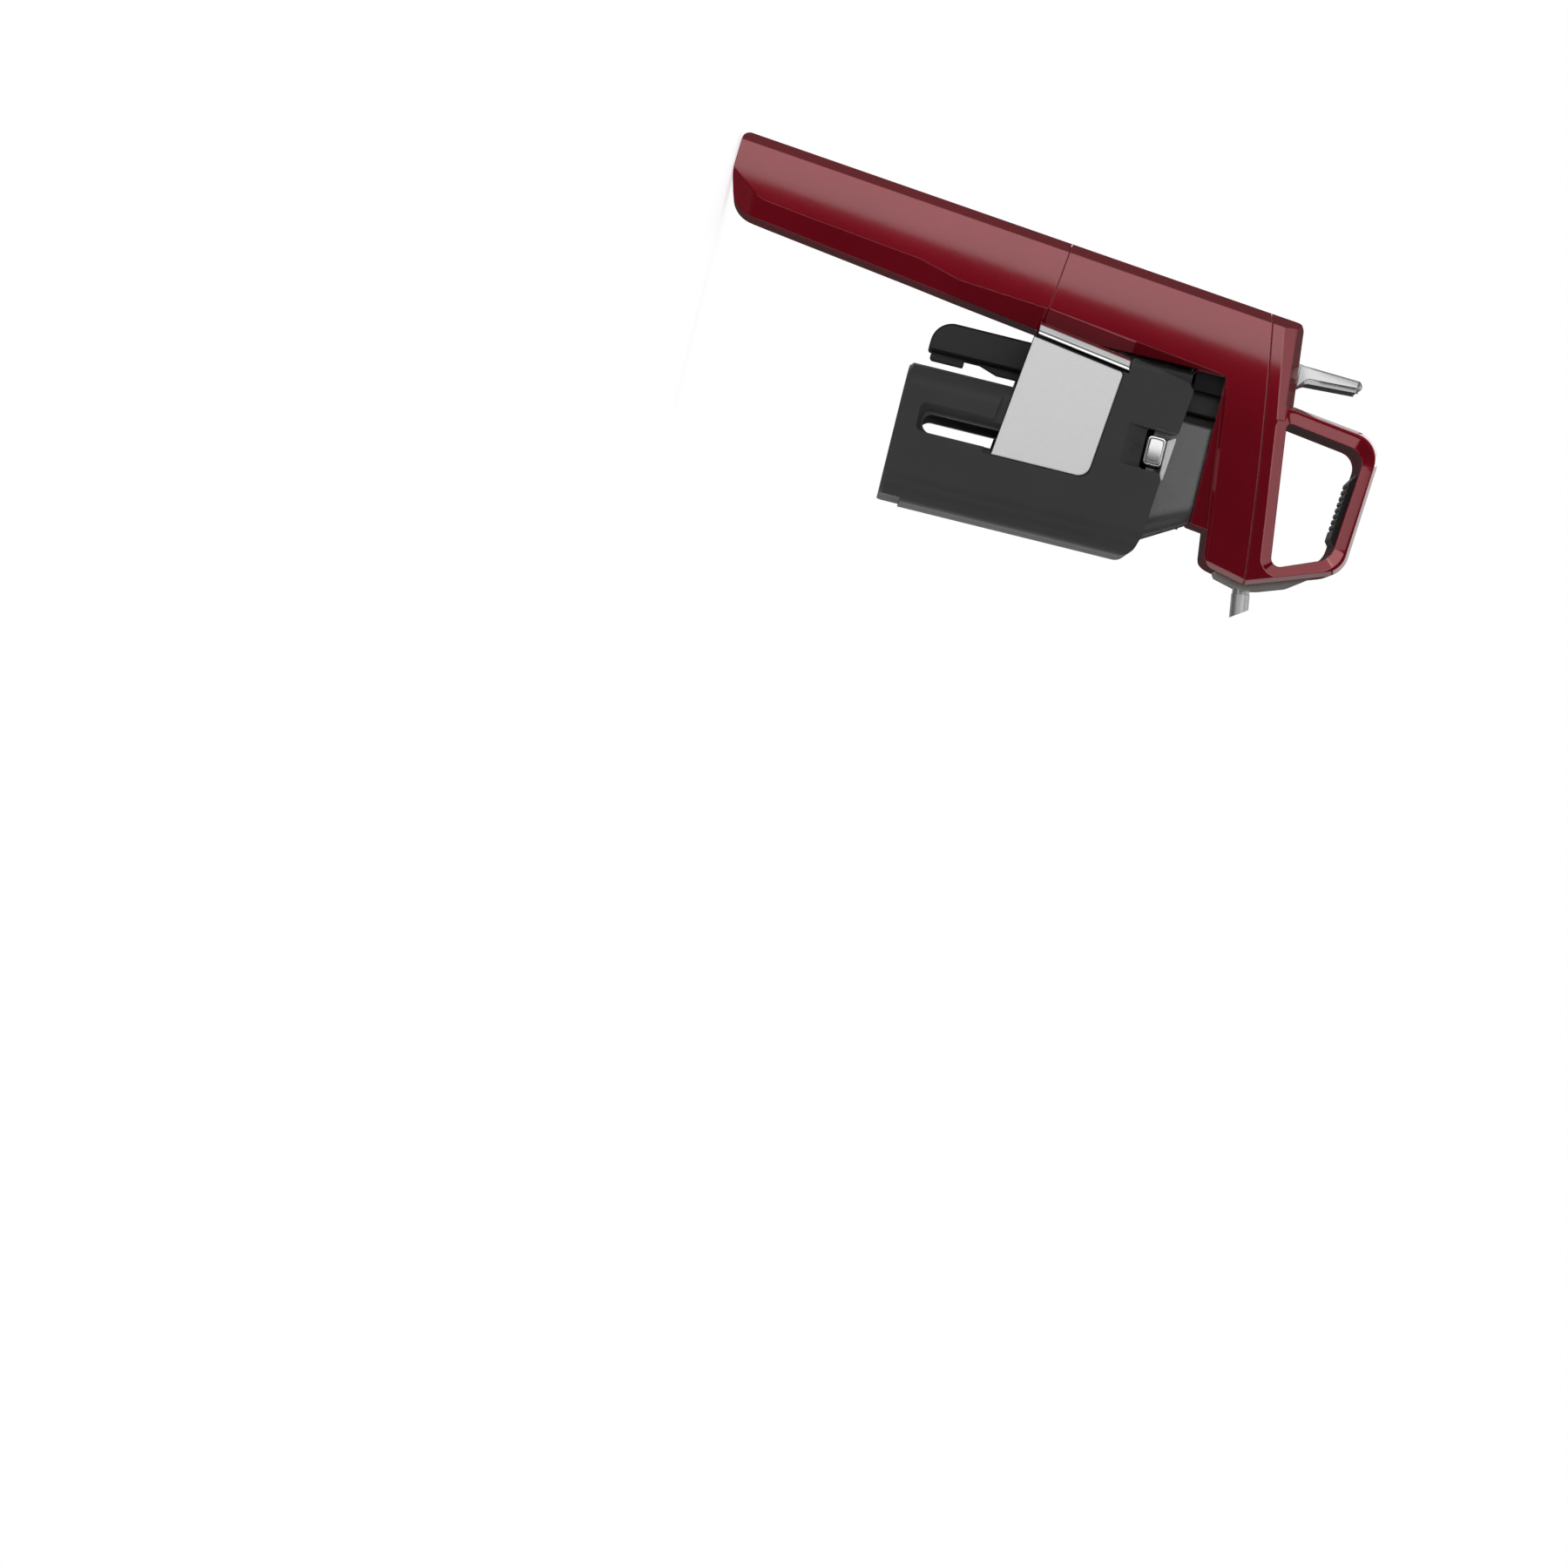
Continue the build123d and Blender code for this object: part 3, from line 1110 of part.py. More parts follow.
def window_cut():
    """Slot through the jaw's wall, with a slanted lead-in on its back side."""
    half = WINDOW_W / 2
    slot = side_slab(
        8, JAW_HALF + 1,
        (WINDOW_X - half, WINDOW_LOW_Z, half - 0.01), (WINDOW_X + half, WINDOW_LOW_Z, half - 0.01),
        (WINDOW_X + half, WINDOW_TOP_Z, 0), (WINDOW_X - half, WINDOW_TOP_Z, 0),
    )
    lead = Pos(0, JAW_HALF + 0.5, 0) * (Plane.XZ * outline(
        (WINDOW_X - half - 3.4, WINDOW_LOW_Z - 2.2, 2.2), (WINDOW_X + half - 0.4, WINDOW_LOW_Z - 2.2, 2.2),
        (WINDOW_X + half - 0.4, WINDOW_TOP_Z, 0), (WINDOW_X - half - 3.4, WINDOW_TOP_Z, 0),
    ))
    return slot + extrude(lead, amount=4.6, dir=(3.4, -3.4, 2.2))


def button_notch():
    """Notch round the release button and the finger scoop under it."""
    low = BUTTON_LOW_Z - 0.7
    notch = side_slab(
        BUTTON_IN_Y - 4.6, JAW_HALF + 1,
        (BUTTON_BACK_X - 2.2, low, 1.2), (BUTTON_FRONT_X + 1.8, low, 1.2),
        (BUTTON_FRONT_X + 1.8, 20, 0), (BUTTON_BACK_X - 2.2, 20, 0),
    )
    return notch + scoop_wedge()


def scoop_wedge():
    """Finger scoop below the notch, deepest at its top."""
    low, high = -0.9, BUTTON_LOW_Z - 0.5
    face = Plane.YZ * outline(
        (JAW_HALF + 0.01, low, 0),
        (JAW_HALF - 2.6, high, 0),
        (JAW_HALF + 2, high, 0),
        (JAW_HALF + 2, low, 0),
    )
    return Pos(BUTTON_BACK_X - 2.0, 0, 0) * extrude(face, amount=BUTTON_W + 3.6, dir=(1, 0, 0))


def chevron():
    """Raised arrowhead in the scoop that points at the button."""
    x, z, raised = (BUTTON_BACK_X + BUTTON_FRONT_X) / 2 - 0.3, 4.6, 0.3
    arrow = side_slab(
        JAW_HALF - 3.4, JAW_HALF,
        (x - 1.7, z - 3.0, 0), (x, z, 0), (x + 1.7, z - 3.0, 0),
        (x + 1.1, z - 3.0, 0), (x, z - 1.0, 0), (x - 1.1, z - 3.0, 0),
    )
    return arrow - Pos(0, raised, 0) * scoop_wedge()


def jaw_pads():
    """Rubber pads that grip the neck, in front of and behind the window, +Y side."""
    pads = []
    for start, end in ((5, 88), (128, 160)):
        middle = (start + end) / 2
        inner = [turned(NECK_R, a) for a in (start, middle, end)]
        outer = [turned(CAVITY_R, a) for a in (start, middle, end)]
        wire = Wire([
            ThreePointArc(*inner),
            Line(inner[2], outer[2]),
            ThreePointArc(*reversed(outer)),
            Line(outer[0], inner[0]),
        ])
        pads += (Pos(0, 0, PAD_LOW_Z) * extrude(Face(wire), amount=PAD_HEIGHT, dir=(0, 0, 1))).solids()
    return Compound(children=pads)


def turned(radius, degrees):
    """Point at a radius and an angle round the needle."""
    return radius * cos(radians(degrees)), radius * sin(radians(degrees))


def hinge_pin():
    """Steel hinge pin of the +Y jaw."""
    return rod((HINGE_X, HINGE_Y, CHANNEL_LOW_Z + 3), (HINGE_X, HINGE_Y, PIN_TOP_Z - 0.3), HINGE_R)


def jaw_spring():
    """Torsion spring round the pin, above the upper lug."""
    low = LUG_SPANS[1][1]
    return coil((HINGE_X, HINGE_Y, low), (HINGE_X, HINGE_Y, low + SPRING_ROOM - 0.4), 2.3, 0.35, 4)


# ================================================================ write the parts
def main():
    form = body_form()
    frame = base_frame()
    parts = {
        "main_body": main_body(form),
        "handle_housing": handle_housing(form),
        "capsule_cup": capsule_cup(form),
        "handle_grip_pad": grip_pad(),
        "spout_bezel": spout_bezel(),
        "spout_tube": spout_tube(),
        "valve_block": valve_block(),
        "valve_stem": valve_stem(),
        "valve_stem_seals": stem_seals(),
        "valve_spring": stem_spring(),
        "needle_hub": needle_hub(),
        "needle": needle(),
        "trigger": trigger(),
        "trigger_pin": trigger_pin(),
        "trigger_spring": trigger_spring(),
        "guide_rail": rail(),
        "rail_cam_strip": rail_cam(),
        "rail_screws": rail_screws(),
        "housing_screws": housing_screws(),
        "gas_tube": gas_tube(),
        "cup_liner": cup_liner(),
        "cup_cushion": cup_cushion(),
        "gas_capsule": gas_capsule(),
        "regulator_body": regulator_body(),
        "piercing_lance": piercing_lance(),
        "capsule_seal": capsule_seal(),
        "regulator_piston": regulator_piston(),
        "regulator_spring": regulator_spring(),
        "clamp_frame": frame,
        "neck_cone": neck_cone(frame),
        "needle_guide": needle_guide(),
        "mouth_seal": mouth_seal(),
        "rail_glide_pads": glide_pads(),
    }
    for name, shape in (
        ("release_button", release_button()),
        ("button_spring", button_spring()),
        ("button_trim", button_trim()),
        ("side_band", side_band()),
        ("clamp_jaw", jaw()),
        ("jaw_plate", jaw_plate()),
        ("jaw_pads", jaw_pads()),
        ("jaw_hinge_pin", hinge_pin()),
        ("jaw_spring", jaw_spring()),
    ):
        parts[name + "_left"] = shape
        parts[name + "_right"] = mirror(shape, about=Plane.XZ)
    os.makedirs("parts", exist_ok=True)
    for name, shape in parts.items():
        export_step(shape, f"parts/{name}.step")


main()
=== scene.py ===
import bmesh
import bpy
import json
import math
from mathutils import Matrix, Vector


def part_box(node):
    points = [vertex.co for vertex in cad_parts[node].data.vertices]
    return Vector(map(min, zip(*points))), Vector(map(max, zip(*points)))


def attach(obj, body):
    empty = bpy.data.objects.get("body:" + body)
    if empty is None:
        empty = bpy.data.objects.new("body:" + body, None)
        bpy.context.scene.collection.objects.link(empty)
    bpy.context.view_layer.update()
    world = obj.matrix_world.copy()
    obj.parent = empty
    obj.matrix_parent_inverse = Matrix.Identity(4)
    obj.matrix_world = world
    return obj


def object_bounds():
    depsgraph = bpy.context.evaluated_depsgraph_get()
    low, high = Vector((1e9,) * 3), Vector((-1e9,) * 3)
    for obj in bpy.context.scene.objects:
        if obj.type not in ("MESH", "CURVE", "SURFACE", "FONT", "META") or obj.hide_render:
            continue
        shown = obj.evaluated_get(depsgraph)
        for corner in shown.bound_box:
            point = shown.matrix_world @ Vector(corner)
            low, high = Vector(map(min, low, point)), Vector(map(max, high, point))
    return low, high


# Wine preservation dispenser: finishes, small moulded details, studio and camera.
# Metres, in the row frame: +Z up the needle, +X towards the spout, -Y the side that the camera sees.
# Points of the added pieces are given in millimetres.

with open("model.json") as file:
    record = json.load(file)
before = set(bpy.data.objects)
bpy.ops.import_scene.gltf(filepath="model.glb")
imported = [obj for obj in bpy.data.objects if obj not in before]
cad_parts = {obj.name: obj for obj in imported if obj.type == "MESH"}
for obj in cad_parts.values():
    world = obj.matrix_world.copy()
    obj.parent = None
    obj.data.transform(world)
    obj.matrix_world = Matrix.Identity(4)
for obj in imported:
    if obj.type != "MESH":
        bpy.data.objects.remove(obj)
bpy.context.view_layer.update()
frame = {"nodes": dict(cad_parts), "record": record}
nodes = frame["nodes"]
scene = bpy.context.scene

MM = 1000  # millimetres in a metre
SIDES = ((-1, "right"), (1, "left"))


# ================================================================ node helpers
class Tree:
    """A node tree with short calls for what the finishes below share."""

    BEVEL_SAMPLES = 6
    # cosine between rounded and true normal, on a face and on a sharp edge
    FACE_COSINE, EDGE_COSINE = 0.995, 0.86

    def __init__(self, name):
        self.material = bpy.data.materials.new(name)
        self.material.use_nodes = True
        self.nodes = self.material.node_tree.nodes
        self.links = self.material.node_tree.links
        self.shader = self.nodes["Principled BSDF"]
        coordinates = self.nodes.new("ShaderNodeTexCoord")
        self.place = coordinates.outputs["Object"]

    def add(self, kind, **inputs):
        """A node with its inputs set to numbers or linked to sockets."""
        node = self.nodes.new(kind)
        for name, value in inputs.items():
            self.put(node, name.replace("_", " "), value)
        return node

    def put(self, node, name, value):
        """Sets or links one input by its name, or by its number in operand nodes."""
        socket = node.inputs[int(name)] if name.isdigit() else node.inputs[name]
        if isinstance(value, bpy.types.NodeSocket):
            self.links.new(value, socket)
        else:
            socket.default_value = value

    def set(self, name, value):
        """Sets or links an input of the shader."""
        self.put(self.shader, name, value)

    def noise(self, scale, detail=3.0, roughness=0.55, stretch=(1, 1, 1)):
        """Noise fixed to the piece; scale is in cycles a metre."""
        mapping = self.add("ShaderNodeMapping", Vector=self.place)
        mapping.inputs["Scale"].default_value = stretch
        node = self.add("ShaderNodeTexNoise", Vector=mapping.outputs[0], Scale=scale, Detail=detail)
        node.inputs["Roughness"].default_value = roughness
        return node.outputs["Fac"]

    def cells(self, scale):
        """Cell colours fixed to the piece, for flakes and grains."""
        node = self.add("ShaderNodeTexVoronoi", Vector=self.place, Scale=scale)
        return node.outputs["Color"]

    def span(self, value, low, high, to_low, to_high):
        """Maps a range of numbers to another."""
        node = self.nodes.new("ShaderNodeMapRange")
        self.links.new(value, node.inputs[0])
        for i, number in enumerate((low, high, to_low, to_high)):
            node.inputs[i + 1].default_value = number
        return node.outputs[0]

    def mix(self, factor, low, high):
        """Mixes two colours."""
        node = self.nodes.new("ShaderNodeMix")
        node.data_type = "RGBA"
        self.put(node, "0", factor)
        for number, value in ((6, low), (7, high)):
            if isinstance(value, bpy.types.NodeSocket):
                self.links.new(value, node.inputs[number])
            else:
                node.inputs[number].default_value = (*value, 1)
        return node.outputs[2]

    def tone(self, noise, low, high):
        """A colour that wanders between two with a noise."""
        return self.mix(self.span(noise, 0.3, 0.7, 0, 1), low, high)

    def math(self, operation, a, b):
        """One step of arithmetic on two numbers."""
        node = self.nodes.new("ShaderNodeMath")
        node.operation = operation
        self.put(node, "0", a)
        self.put(node, "1", b)
        return node.outputs[0]

    def rounded(self, radius):
        """Normals that round off sharp edges by a radius."""
        node = self.add("ShaderNodeBevel", Radius=radius)
        node.samples = self.BEVEL_SAMPLES
        return node.outputs[0]

    def bump(self, height, distance, strength, normal):
        """Relief from a height, on top of a normal."""
        node = self.add("ShaderNodeBump", Height=height, Distance=distance, Strength=strength)
        self.links.new(normal, node.inputs["Normal"])
        return node.outputs[0]

    def edges(self, radius):
        """1 on sharp edges, 0 on faces."""
        geometry = self.nodes.new("ShaderNodeNewGeometry")
        dot = self.nodes.new("ShaderNodeVectorMath")
        dot.operation = "DOT_PRODUCT"
        self.links.new(self.rounded(radius), dot.inputs[0])
        self.links.new(geometry.outputs["True Normal"], dot.inputs[1])
        return self.span(dot.outputs["Value"], self.FACE_COSINE, self.EDGE_COSINE, 0.0, 1.0)


# ================================================================ finishes
def inside(t, low, high):
    """1 in a box of object space, in millimetres, and 0 outside it."""
    split = t.add("ShaderNodeSeparateXYZ", Vector=t.place)
    result = None
    for axis in range(3):
        for limit, operation in ((low[axis], "GREATER_THAN"), (high[axis], "LESS_THAN")):
            test = t.math(operation, split.outputs[axis], limit / MM)
            result = test if result is None else t.math("MULTIPLY", result, test)
    return result


def paint():
    """Burgundy metallic paint with fine flake under a glossy clear coat; on the rail's skirt it carries
    painted shade, near-black without metal or coat.
    """
    deep, light = (0.226, 0.0024, 0.0114), (0.256, 0.0032, 0.0138)
    flake_colour, flake_scale, flake_share = (0.46, 0.022, 0.050), 9000, 0.3
    # the skirt's box, and the near-black of the shade painted on it
    skirt_low, skirt_high, skirt_shade_black = (-42.3, -11.2, 14.0), (-29.0, 11.2, 26.2), (0.022, 0.022, 0.0225)
    metallic, skirt_roughness, radius = 0.42, 0.4, 0.00045
    t = Tree("burgundy_paint")
    flake = t.cells(flake_scale)
    split = t.add("ShaderNodeSeparateColor", Color=flake)
    tone = t.tone(t.noise(45, 4), deep, light)
    bright = t.span(split.outputs[0], 0.86, 1.0, 0.0, flake_share)
    # painted shade: the skirt round the rail, between arm and boss, is coloured near-black where the arm
    # shades it
    skirt_shade_mask = inside(t, skirt_low, skirt_high)
    coated = t.math("SUBTRACT", 1.0, skirt_shade_mask)
    colour = t.mix(bright, tone, flake_colour)
    t.set("Base Color", t.mix(skirt_shade_mask, colour, skirt_shade_black))
    t.set("Metallic", t.math("MULTIPLY", coated, metallic))
    rough = t.span(t.noise(160, 5), 0.25, 0.75, 0.10, 0.13)
    t.set("Roughness", t.math("ADD", rough, t.math("MULTIPLY", skirt_shade_mask, skirt_roughness)))
    t.set("Specular IOR Level", 0.0)
    t.set("Coat Weight", coated)
    t.set("Coat IOR", 1.7)
    t.set("Coat Roughness", 0.035)
    peel = t.bump(t.noise(520, 2), 0.0000005, 1.0, t.rounded(radius))
    grain = t.bump(split.outputs[1], 0.0000004, 1.0, t.rounded(radius))
    t.set("Normal", grain)
    t.set("Coat Normal", peel)
    return t.material


def moulded(name, low, high, roughness, grain=0.00002, specular=0.35, bloom=0.0):
    """Moulded polymer with a fine spark-eroded grain and rubbed edges; bloom is a soft-touch sheen."""
    radius, worn_radius, worn, spread = 0.0003, 0.0003 * 1.6, 0.35, 0.05
    t = Tree(name)
    tone = t.tone(t.noise(60, 5), low, high)
    rub = t.math("MULTIPLY", t.edges(worn_radius), t.span(t.noise(240, 4), 0.35, 0.75, 0.2, 1.0))
    pale = tuple(min(1, v * 1.9 + 0.012) for v in high)
    t.set("Base Color", t.mix(t.math("MULTIPLY", rub, worn), tone, pale))
    t.set("Roughness", t.span(t.noise(120, 5), 0.3, 0.7, roughness - spread, roughness + spread))
    t.set("Specular IOR Level", specular)
    if bloom:
        t.set("Sheen Weight", bloom)
        t.set("Sheen Roughness", 0.35)
    t.set("Normal", t.bump(t.noise(2600, 3, 0.7), grain, 0.9, t.rounded(radius)))
    return t.material


def rubber():
    """Matt black rubber with a dusty bloom."""
    t = Tree("black_rubber")
    bloom = t.span(t.noise(90, 6, 0.65), 0.45, 0.8, 0.0, 0.5)
    t.set("Base Color", t.mix(bloom, (0.012, 0.012, 0.012), (0.034, 0.034, 0.035)))
    t.set("Roughness", t.span(t.noise(300, 4), 0.3, 0.7, 0.66, 0.82))
    t.set("Specular IOR Level", 0.3)
    t.set("Sheen Weight", 0.12)
    t.set("Sheen Roughness", 0.5)
    t.set("Normal", t.bump(t.noise(3600, 3, 0.7), 0.00003, 0.8, t.rounded(0.0002)))
    return t.material


def chrome():
    """Bright chrome plate with faint waviness and hairline polish."""
    t = Tree("bright_chrome")
    t.set("Base Color", t.tone(t.noise(80, 4), (0.80, 0.80, 0.81), (0.90, 0.90, 0.90)))
    t.set("Metallic", 1.0)
    t.set("Roughness", t.span(t.noise(240, 5), 0.3, 0.7, 0.07, 0.12))
    t.set("Normal", t.bump(t.noise(160, 2), 0.0000012, 1.0, t.rounded(0.0005)))
    return t.material


def satin():
    """Satin chrome plate: pale and even, with a very fine brush along the needle."""
    t = Tree("satin_chrome")
    brush = t.noise(2600, 3, 0.6, (1, 1, 0.2))
    t.set("Base Color", t.tone(brush, (0.84, 0.84, 0.84), (0.88, 0.88, 0.88)))
    t.set("Metallic", 0.25)
    t.set("Roughness", t.span(t.noise(90, 4), 0.3, 0.7, 0.33, 0.39))
    t.set("Normal", t.bump(brush, 0.000001, 1.0, t.rounded(0.0003)))
    return t.material


def metal(name, low, high, roughness, turned=True, spread=0.06, relief=0.0000006):
    """Plain machined or drawn metal; turned metal has its tool marks round the needle's direction."""
    t = Tree(name)
    marks = t.noise(1500, 3, 0.6, (1, 1, 6) if turned else (1, 1, 1))
    t.set("Base Color", t.tone(marks, low, high))
    t.set("Metallic", 1.0)
    t.set("Roughness", t.span(marks, 0.25, 0.75, roughness - spread, roughness + spread))
    t.set("Normal", t.bump(marks, relief, 1.0, t.rounded(0.0002)))
    return t.material


def natural():
    """Smooth natural polymer, a little waxy."""
    t = Tree("white_polymer")
    t.set("Base Color", t.tone(t.noise(110, 5), (0.70, 0.69, 0.66), (0.80, 0.79, 0.76)))
    t.set("Roughness", t.span(t.noise(200, 4), 0.3, 0.7, 0.34, 0.46))
    t.set("Subsurface Weight", 0.15)
    t.set("Subsurface Scale", 0.001)
    t.set("Normal", t.bump(t.noise(1800, 3), 0.000008, 0.8, t.rounded(0.0002)))
    return t.material


finishes = {
    "burgundy_paint": paint(),
    "black_soft_touch": moulded("black_soft_touch", (0.0330, 0.0330, 0.0332), (0.0385, 0.0385, 0.0388),
                                roughness=0.50, bloom=0.30),
    "black_nylon": moulded("black_nylon", (0.0190, 0.0190, 0.0194), (0.0250, 0.0250, 0.0254),
                           roughness=0.42, grain=0.00001),
    "black_frame": moulded("black_frame", (0.0200, 0.0200, 0.0204), (0.0260, 0.0260, 0.0264),
                           roughness=0.45, grain=0.00001),
    "dark_grey_cover": moulded("dark_grey_cover", (0.085, 0.085, 0.086), (0.100, 0.100, 0.101),
                               roughness=0.27, grain=0.000004, specular=0.95),
    "grey_trim": moulded("grey_trim", (0.235, 0.230, 0.212), (0.275, 0.270, 0.250),
                         roughness=0.34, grain=0.000008),
    "grey_polymer": moulded("grey_polymer", (0.24, 0.24, 0.25), (0.31, 0.31, 0.32),
                            roughness=0.45, grain=0.00001),
    "white_polymer": natural(),
    "black_rubber": rubber(),
    "bright_chrome": chrome(),
    "satin_chrome": satin(),
    "polished_steel": metal("polished_steel", (0.78, 0.78, 0.79), (0.82, 0.82, 0.83),
                            roughness=0.48, turned=False, spread=0.02, relief=0.00000015),
    "button_face": metal("button_face", (0.64, 0.64, 0.64), (0.68, 0.68, 0.68),
                         roughness=0.27, turned=False, spread=0.02, relief=0.00000012),
    "lever_plate": metal("lever_plate", (0.50, 0.50, 0.505), (0.54, 0.54, 0.545),
                         roughness=0.26, turned=False, spread=0.02, relief=0.00000012),
    "plain_steel": metal("plain_steel", (0.46, 0.46, 0.47), (0.58, 0.58, 0.59), roughness=0.32),
    "spring_steel": metal("spring_steel", (0.36, 0.36, 0.37), (0.48, 0.48, 0.49),
                          roughness=0.34, turned=False),
    "capsule_steel": metal("capsule_steel", (0.52, 0.52, 0.53), (0.64, 0.64, 0.65), roughness=0.26),
    "brass_metal": metal("brass_metal", (0.60, 0.44, 0.18), (0.74, 0.58, 0.28), roughness=0.28),
}

# plated parts that are duller than their slot's side bands
own_gloss = {
    "trigger": "lever_plate",
    "button_trim_left": "satin_chrome",
    "button_trim_right": "satin_chrome",
}

for part in frame["record"]["subparts"]:
    node = nodes[part["node"]]
    node.data.materials.clear()
    node.data.materials.append(finishes[own_gloss.get(part["node"], part["material_slot"])])


# ================================================================ moulded and plated details
def piece(name, points, faces, slot, body, finish=None, smooth=True, rounding=0.0):
    """A mesh piece from points in millimetres, in its slot's finish unless it has its own, on a body."""
    mesh = bpy.data.meshes.new(name)
    mesh.from_pydata([Vector(p) / MM for p in points], [], faces)
    mesh.validate()
    thing = bpy.data.objects.new(name, mesh)
    scene.collection.objects.link(thing)
    work = bmesh.new()
    work.from_mesh(mesh)
    bmesh.ops.recalc_face_normals(work, faces=work.faces)
    for face in work.faces:
        face.smooth = smooth
    work.to_mesh(mesh)
    work.free()
    if rounding:
        bevel = thing.modifiers.new("rounding", "BEVEL")
        bevel.width = rounding / MM
        bevel.segments = 3
        bevel.limit_method = "ANGLE"
        bevel.harden_normals = True
    mesh.materials.append(finishes[finish or slot])
    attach(thing, body)


def button_cap(side, label):
    """Plated cap on a release button: a closed shell with a low dome, highest past its middle."""
    low_x, high_x, low_z, high_z = -17.35, -9.0, 6.75, 11.65
    foot, wall = 20.45, 0.15
    across, along = 64, 44
    corner_draw = 0.14
    # the dome's height is a + b t + c t^2 over the cap's length; the powers say how steep its rim falls off
    dome = (0.75, 1.40, -1.00)
    rim_across, rim_along = 22, 16
    points, faces = [], []
    for i in range(across + 1):
        for j in range(along + 1):
            u, v = 2 * i / across - 1, 2 * j / along - 1
            # a square grid drawn in at its corners
            x = u * math.sqrt(1 - corner_draw * v * v)
            z = v * math.sqrt(1 - corner_draw * u * u)
            t = (u + 1) / 2
            rise = dome[0] + dome[1] * t + dome[2] * t * t
            edge = (1 - abs(u) ** rim_across) ** 0.5 * (1 - abs(v) ** rim_along) ** 0.5
            points.append((
                (low_x + high_x) / 2 + x * (high_x - low_x) / 2,
                side * (foot + wall + rise * edge),
                (low_z + high_z) / 2 + z * (high_z - low_z) / 2,
            ))
    row = along + 1
    for i in range(across):
        for j in range(along):
            a = i * row + j
            faces.append((a, a + 1, a + row + 1, a + row))
    # the wall under the rim, and the floor
    rim = list(range(row)) + [i * row + along for i in range(1, across + 1)]
    rim += [across * row + j for j in range(along - 1, -1, -1)] + [i * row for i in range(across - 1, 0, -1)]
    start, count = len(points), len(rim)
    for k in rim:
        points.append((points[k][0], side * foot, points[k][2]))
    for k in range(count):
        n = (k + 1) % count
        faces.append((rim[k], rim[n], start + n, start + k))
    faces.append(tuple(range(start, start + count)))
    piece("button_cap_" + label, points, faces, "bright_chrome", "button_" + label, finish="button_face")


def trigger_facet(side, label):
    """Two facets along the trigger's side with a ridge between them, from the head's top to the tip."""
    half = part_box("trigger")[1].y * MM
    # height, share of the full relief, and share of the front facet's width
    stations = ((48.9, 0.1, 0.3), (49.5, 0.5, 0.4), (51.2, 0.5, 0.8), (52.4, 1.0, 1.0), (57.0, 1.0, 1.0),
                (62.0, 1.0, 1.0), (67.6, 1.0, 1.0), (68.5, 0.8, 1.0), (68.95, 0.15, 1.0))
    # the blade's back and front edges: height and x at the foot, then the lean over the length above it
    back_z, back_x, back_lean, back_length = 50.06, -52.6, 0.7, 18.94
    front_z, front_x, front_lean, front_length = 52.06, -47.1, 0.9, 16.34
    flare_x, flare_reach, flare_height = -47.2, 2.2, 2.8
    inset, front_facet = 0.1, 1.6
    # offsets from the trigger's own side face, and widths of the first step and of the ridge's flat
    back_sunk, back_proud, ridge_proud, front_sunk, inner_sunk = 0.60, 0.06, 0.64, 0.12, 1.0
    step, flat = 0.35, 0.08
    points, faces = [], []
    for z, full, spread in stations:
        back = back_x + back_lean * (z - back_z) / back_length + inset
        if z < front_z:
            front = flare_x + flare_reach * (front_z - z) / flare_height
        else:
            front = front_x - front_lean * (z - front_z) / front_length
        ridge = front - front_facet * spread
        for x, y in (
            (back, half - back_sunk),
            (back + step, half + back_proud * full),
            (ridge - flat, half + ridge_proud * full),
            (ridge + flat, half + ridge_proud * full),
            (front + inset, half - front_sunk),
            (front + inset, half - inner_sunk),
        ):
            points.append((x, side * y, z))
    ring = len(points) // len(stations)
    last = (len(stations) - 1) * ring
    for i in range(0, last, ring):
        for k in range(ring):
            n = (k + 1) % ring
            faces.append((i + k, i + n, i + ring + n, i + ring + k))
    faces.append(tuple(range(ring)))
    faces.append(tuple(last + k for k in range(ring)))
    piece("trigger_facet_" + label, points, faces, "bright_chrome", "trigger_lever", finish="lever_plate",
          rounding=0.12)


def plate_rim(label):
    """Black rim in the groove round a jaw's plate, a little below its face."""
    weld, groove, depth = 0.00001, 0.00031, 0.02172
    face_share = 0.15  # a corner whose normal lies less than this in the plate's plane isn't on its rim
    mesh = nodes["jaw_plate_" + label].data.copy()
    mesh.name = "plate_rim_" + label
    mesh.materials.clear()
    work = bmesh.new()
    work.from_mesh(mesh)
    bmesh.ops.remove_doubles(work, verts=work.verts, dist=weld)
    work.normal_update()
    shift = {}
    for vertex in work.verts:
        out = Vector((vertex.normal.x, 0, vertex.normal.z))
        shift[vertex] = out.normalized() * groove if out.length > face_share else Vector((0, 0, 0))
    for vertex, by in shift.items():
        vertex.co += by
        vertex.co.y = math.copysign(min(abs(vertex.co.y), depth), vertex.co.y)
    work.to_mesh(mesh)
    work.free()
    rim = bpy.data.objects.new("plate_rim_" + label, mesh)
    scene.collection.objects.link(rim)
    mesh.materials.append(finishes["black_rubber"])
    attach(rim, "jaw_" + label)


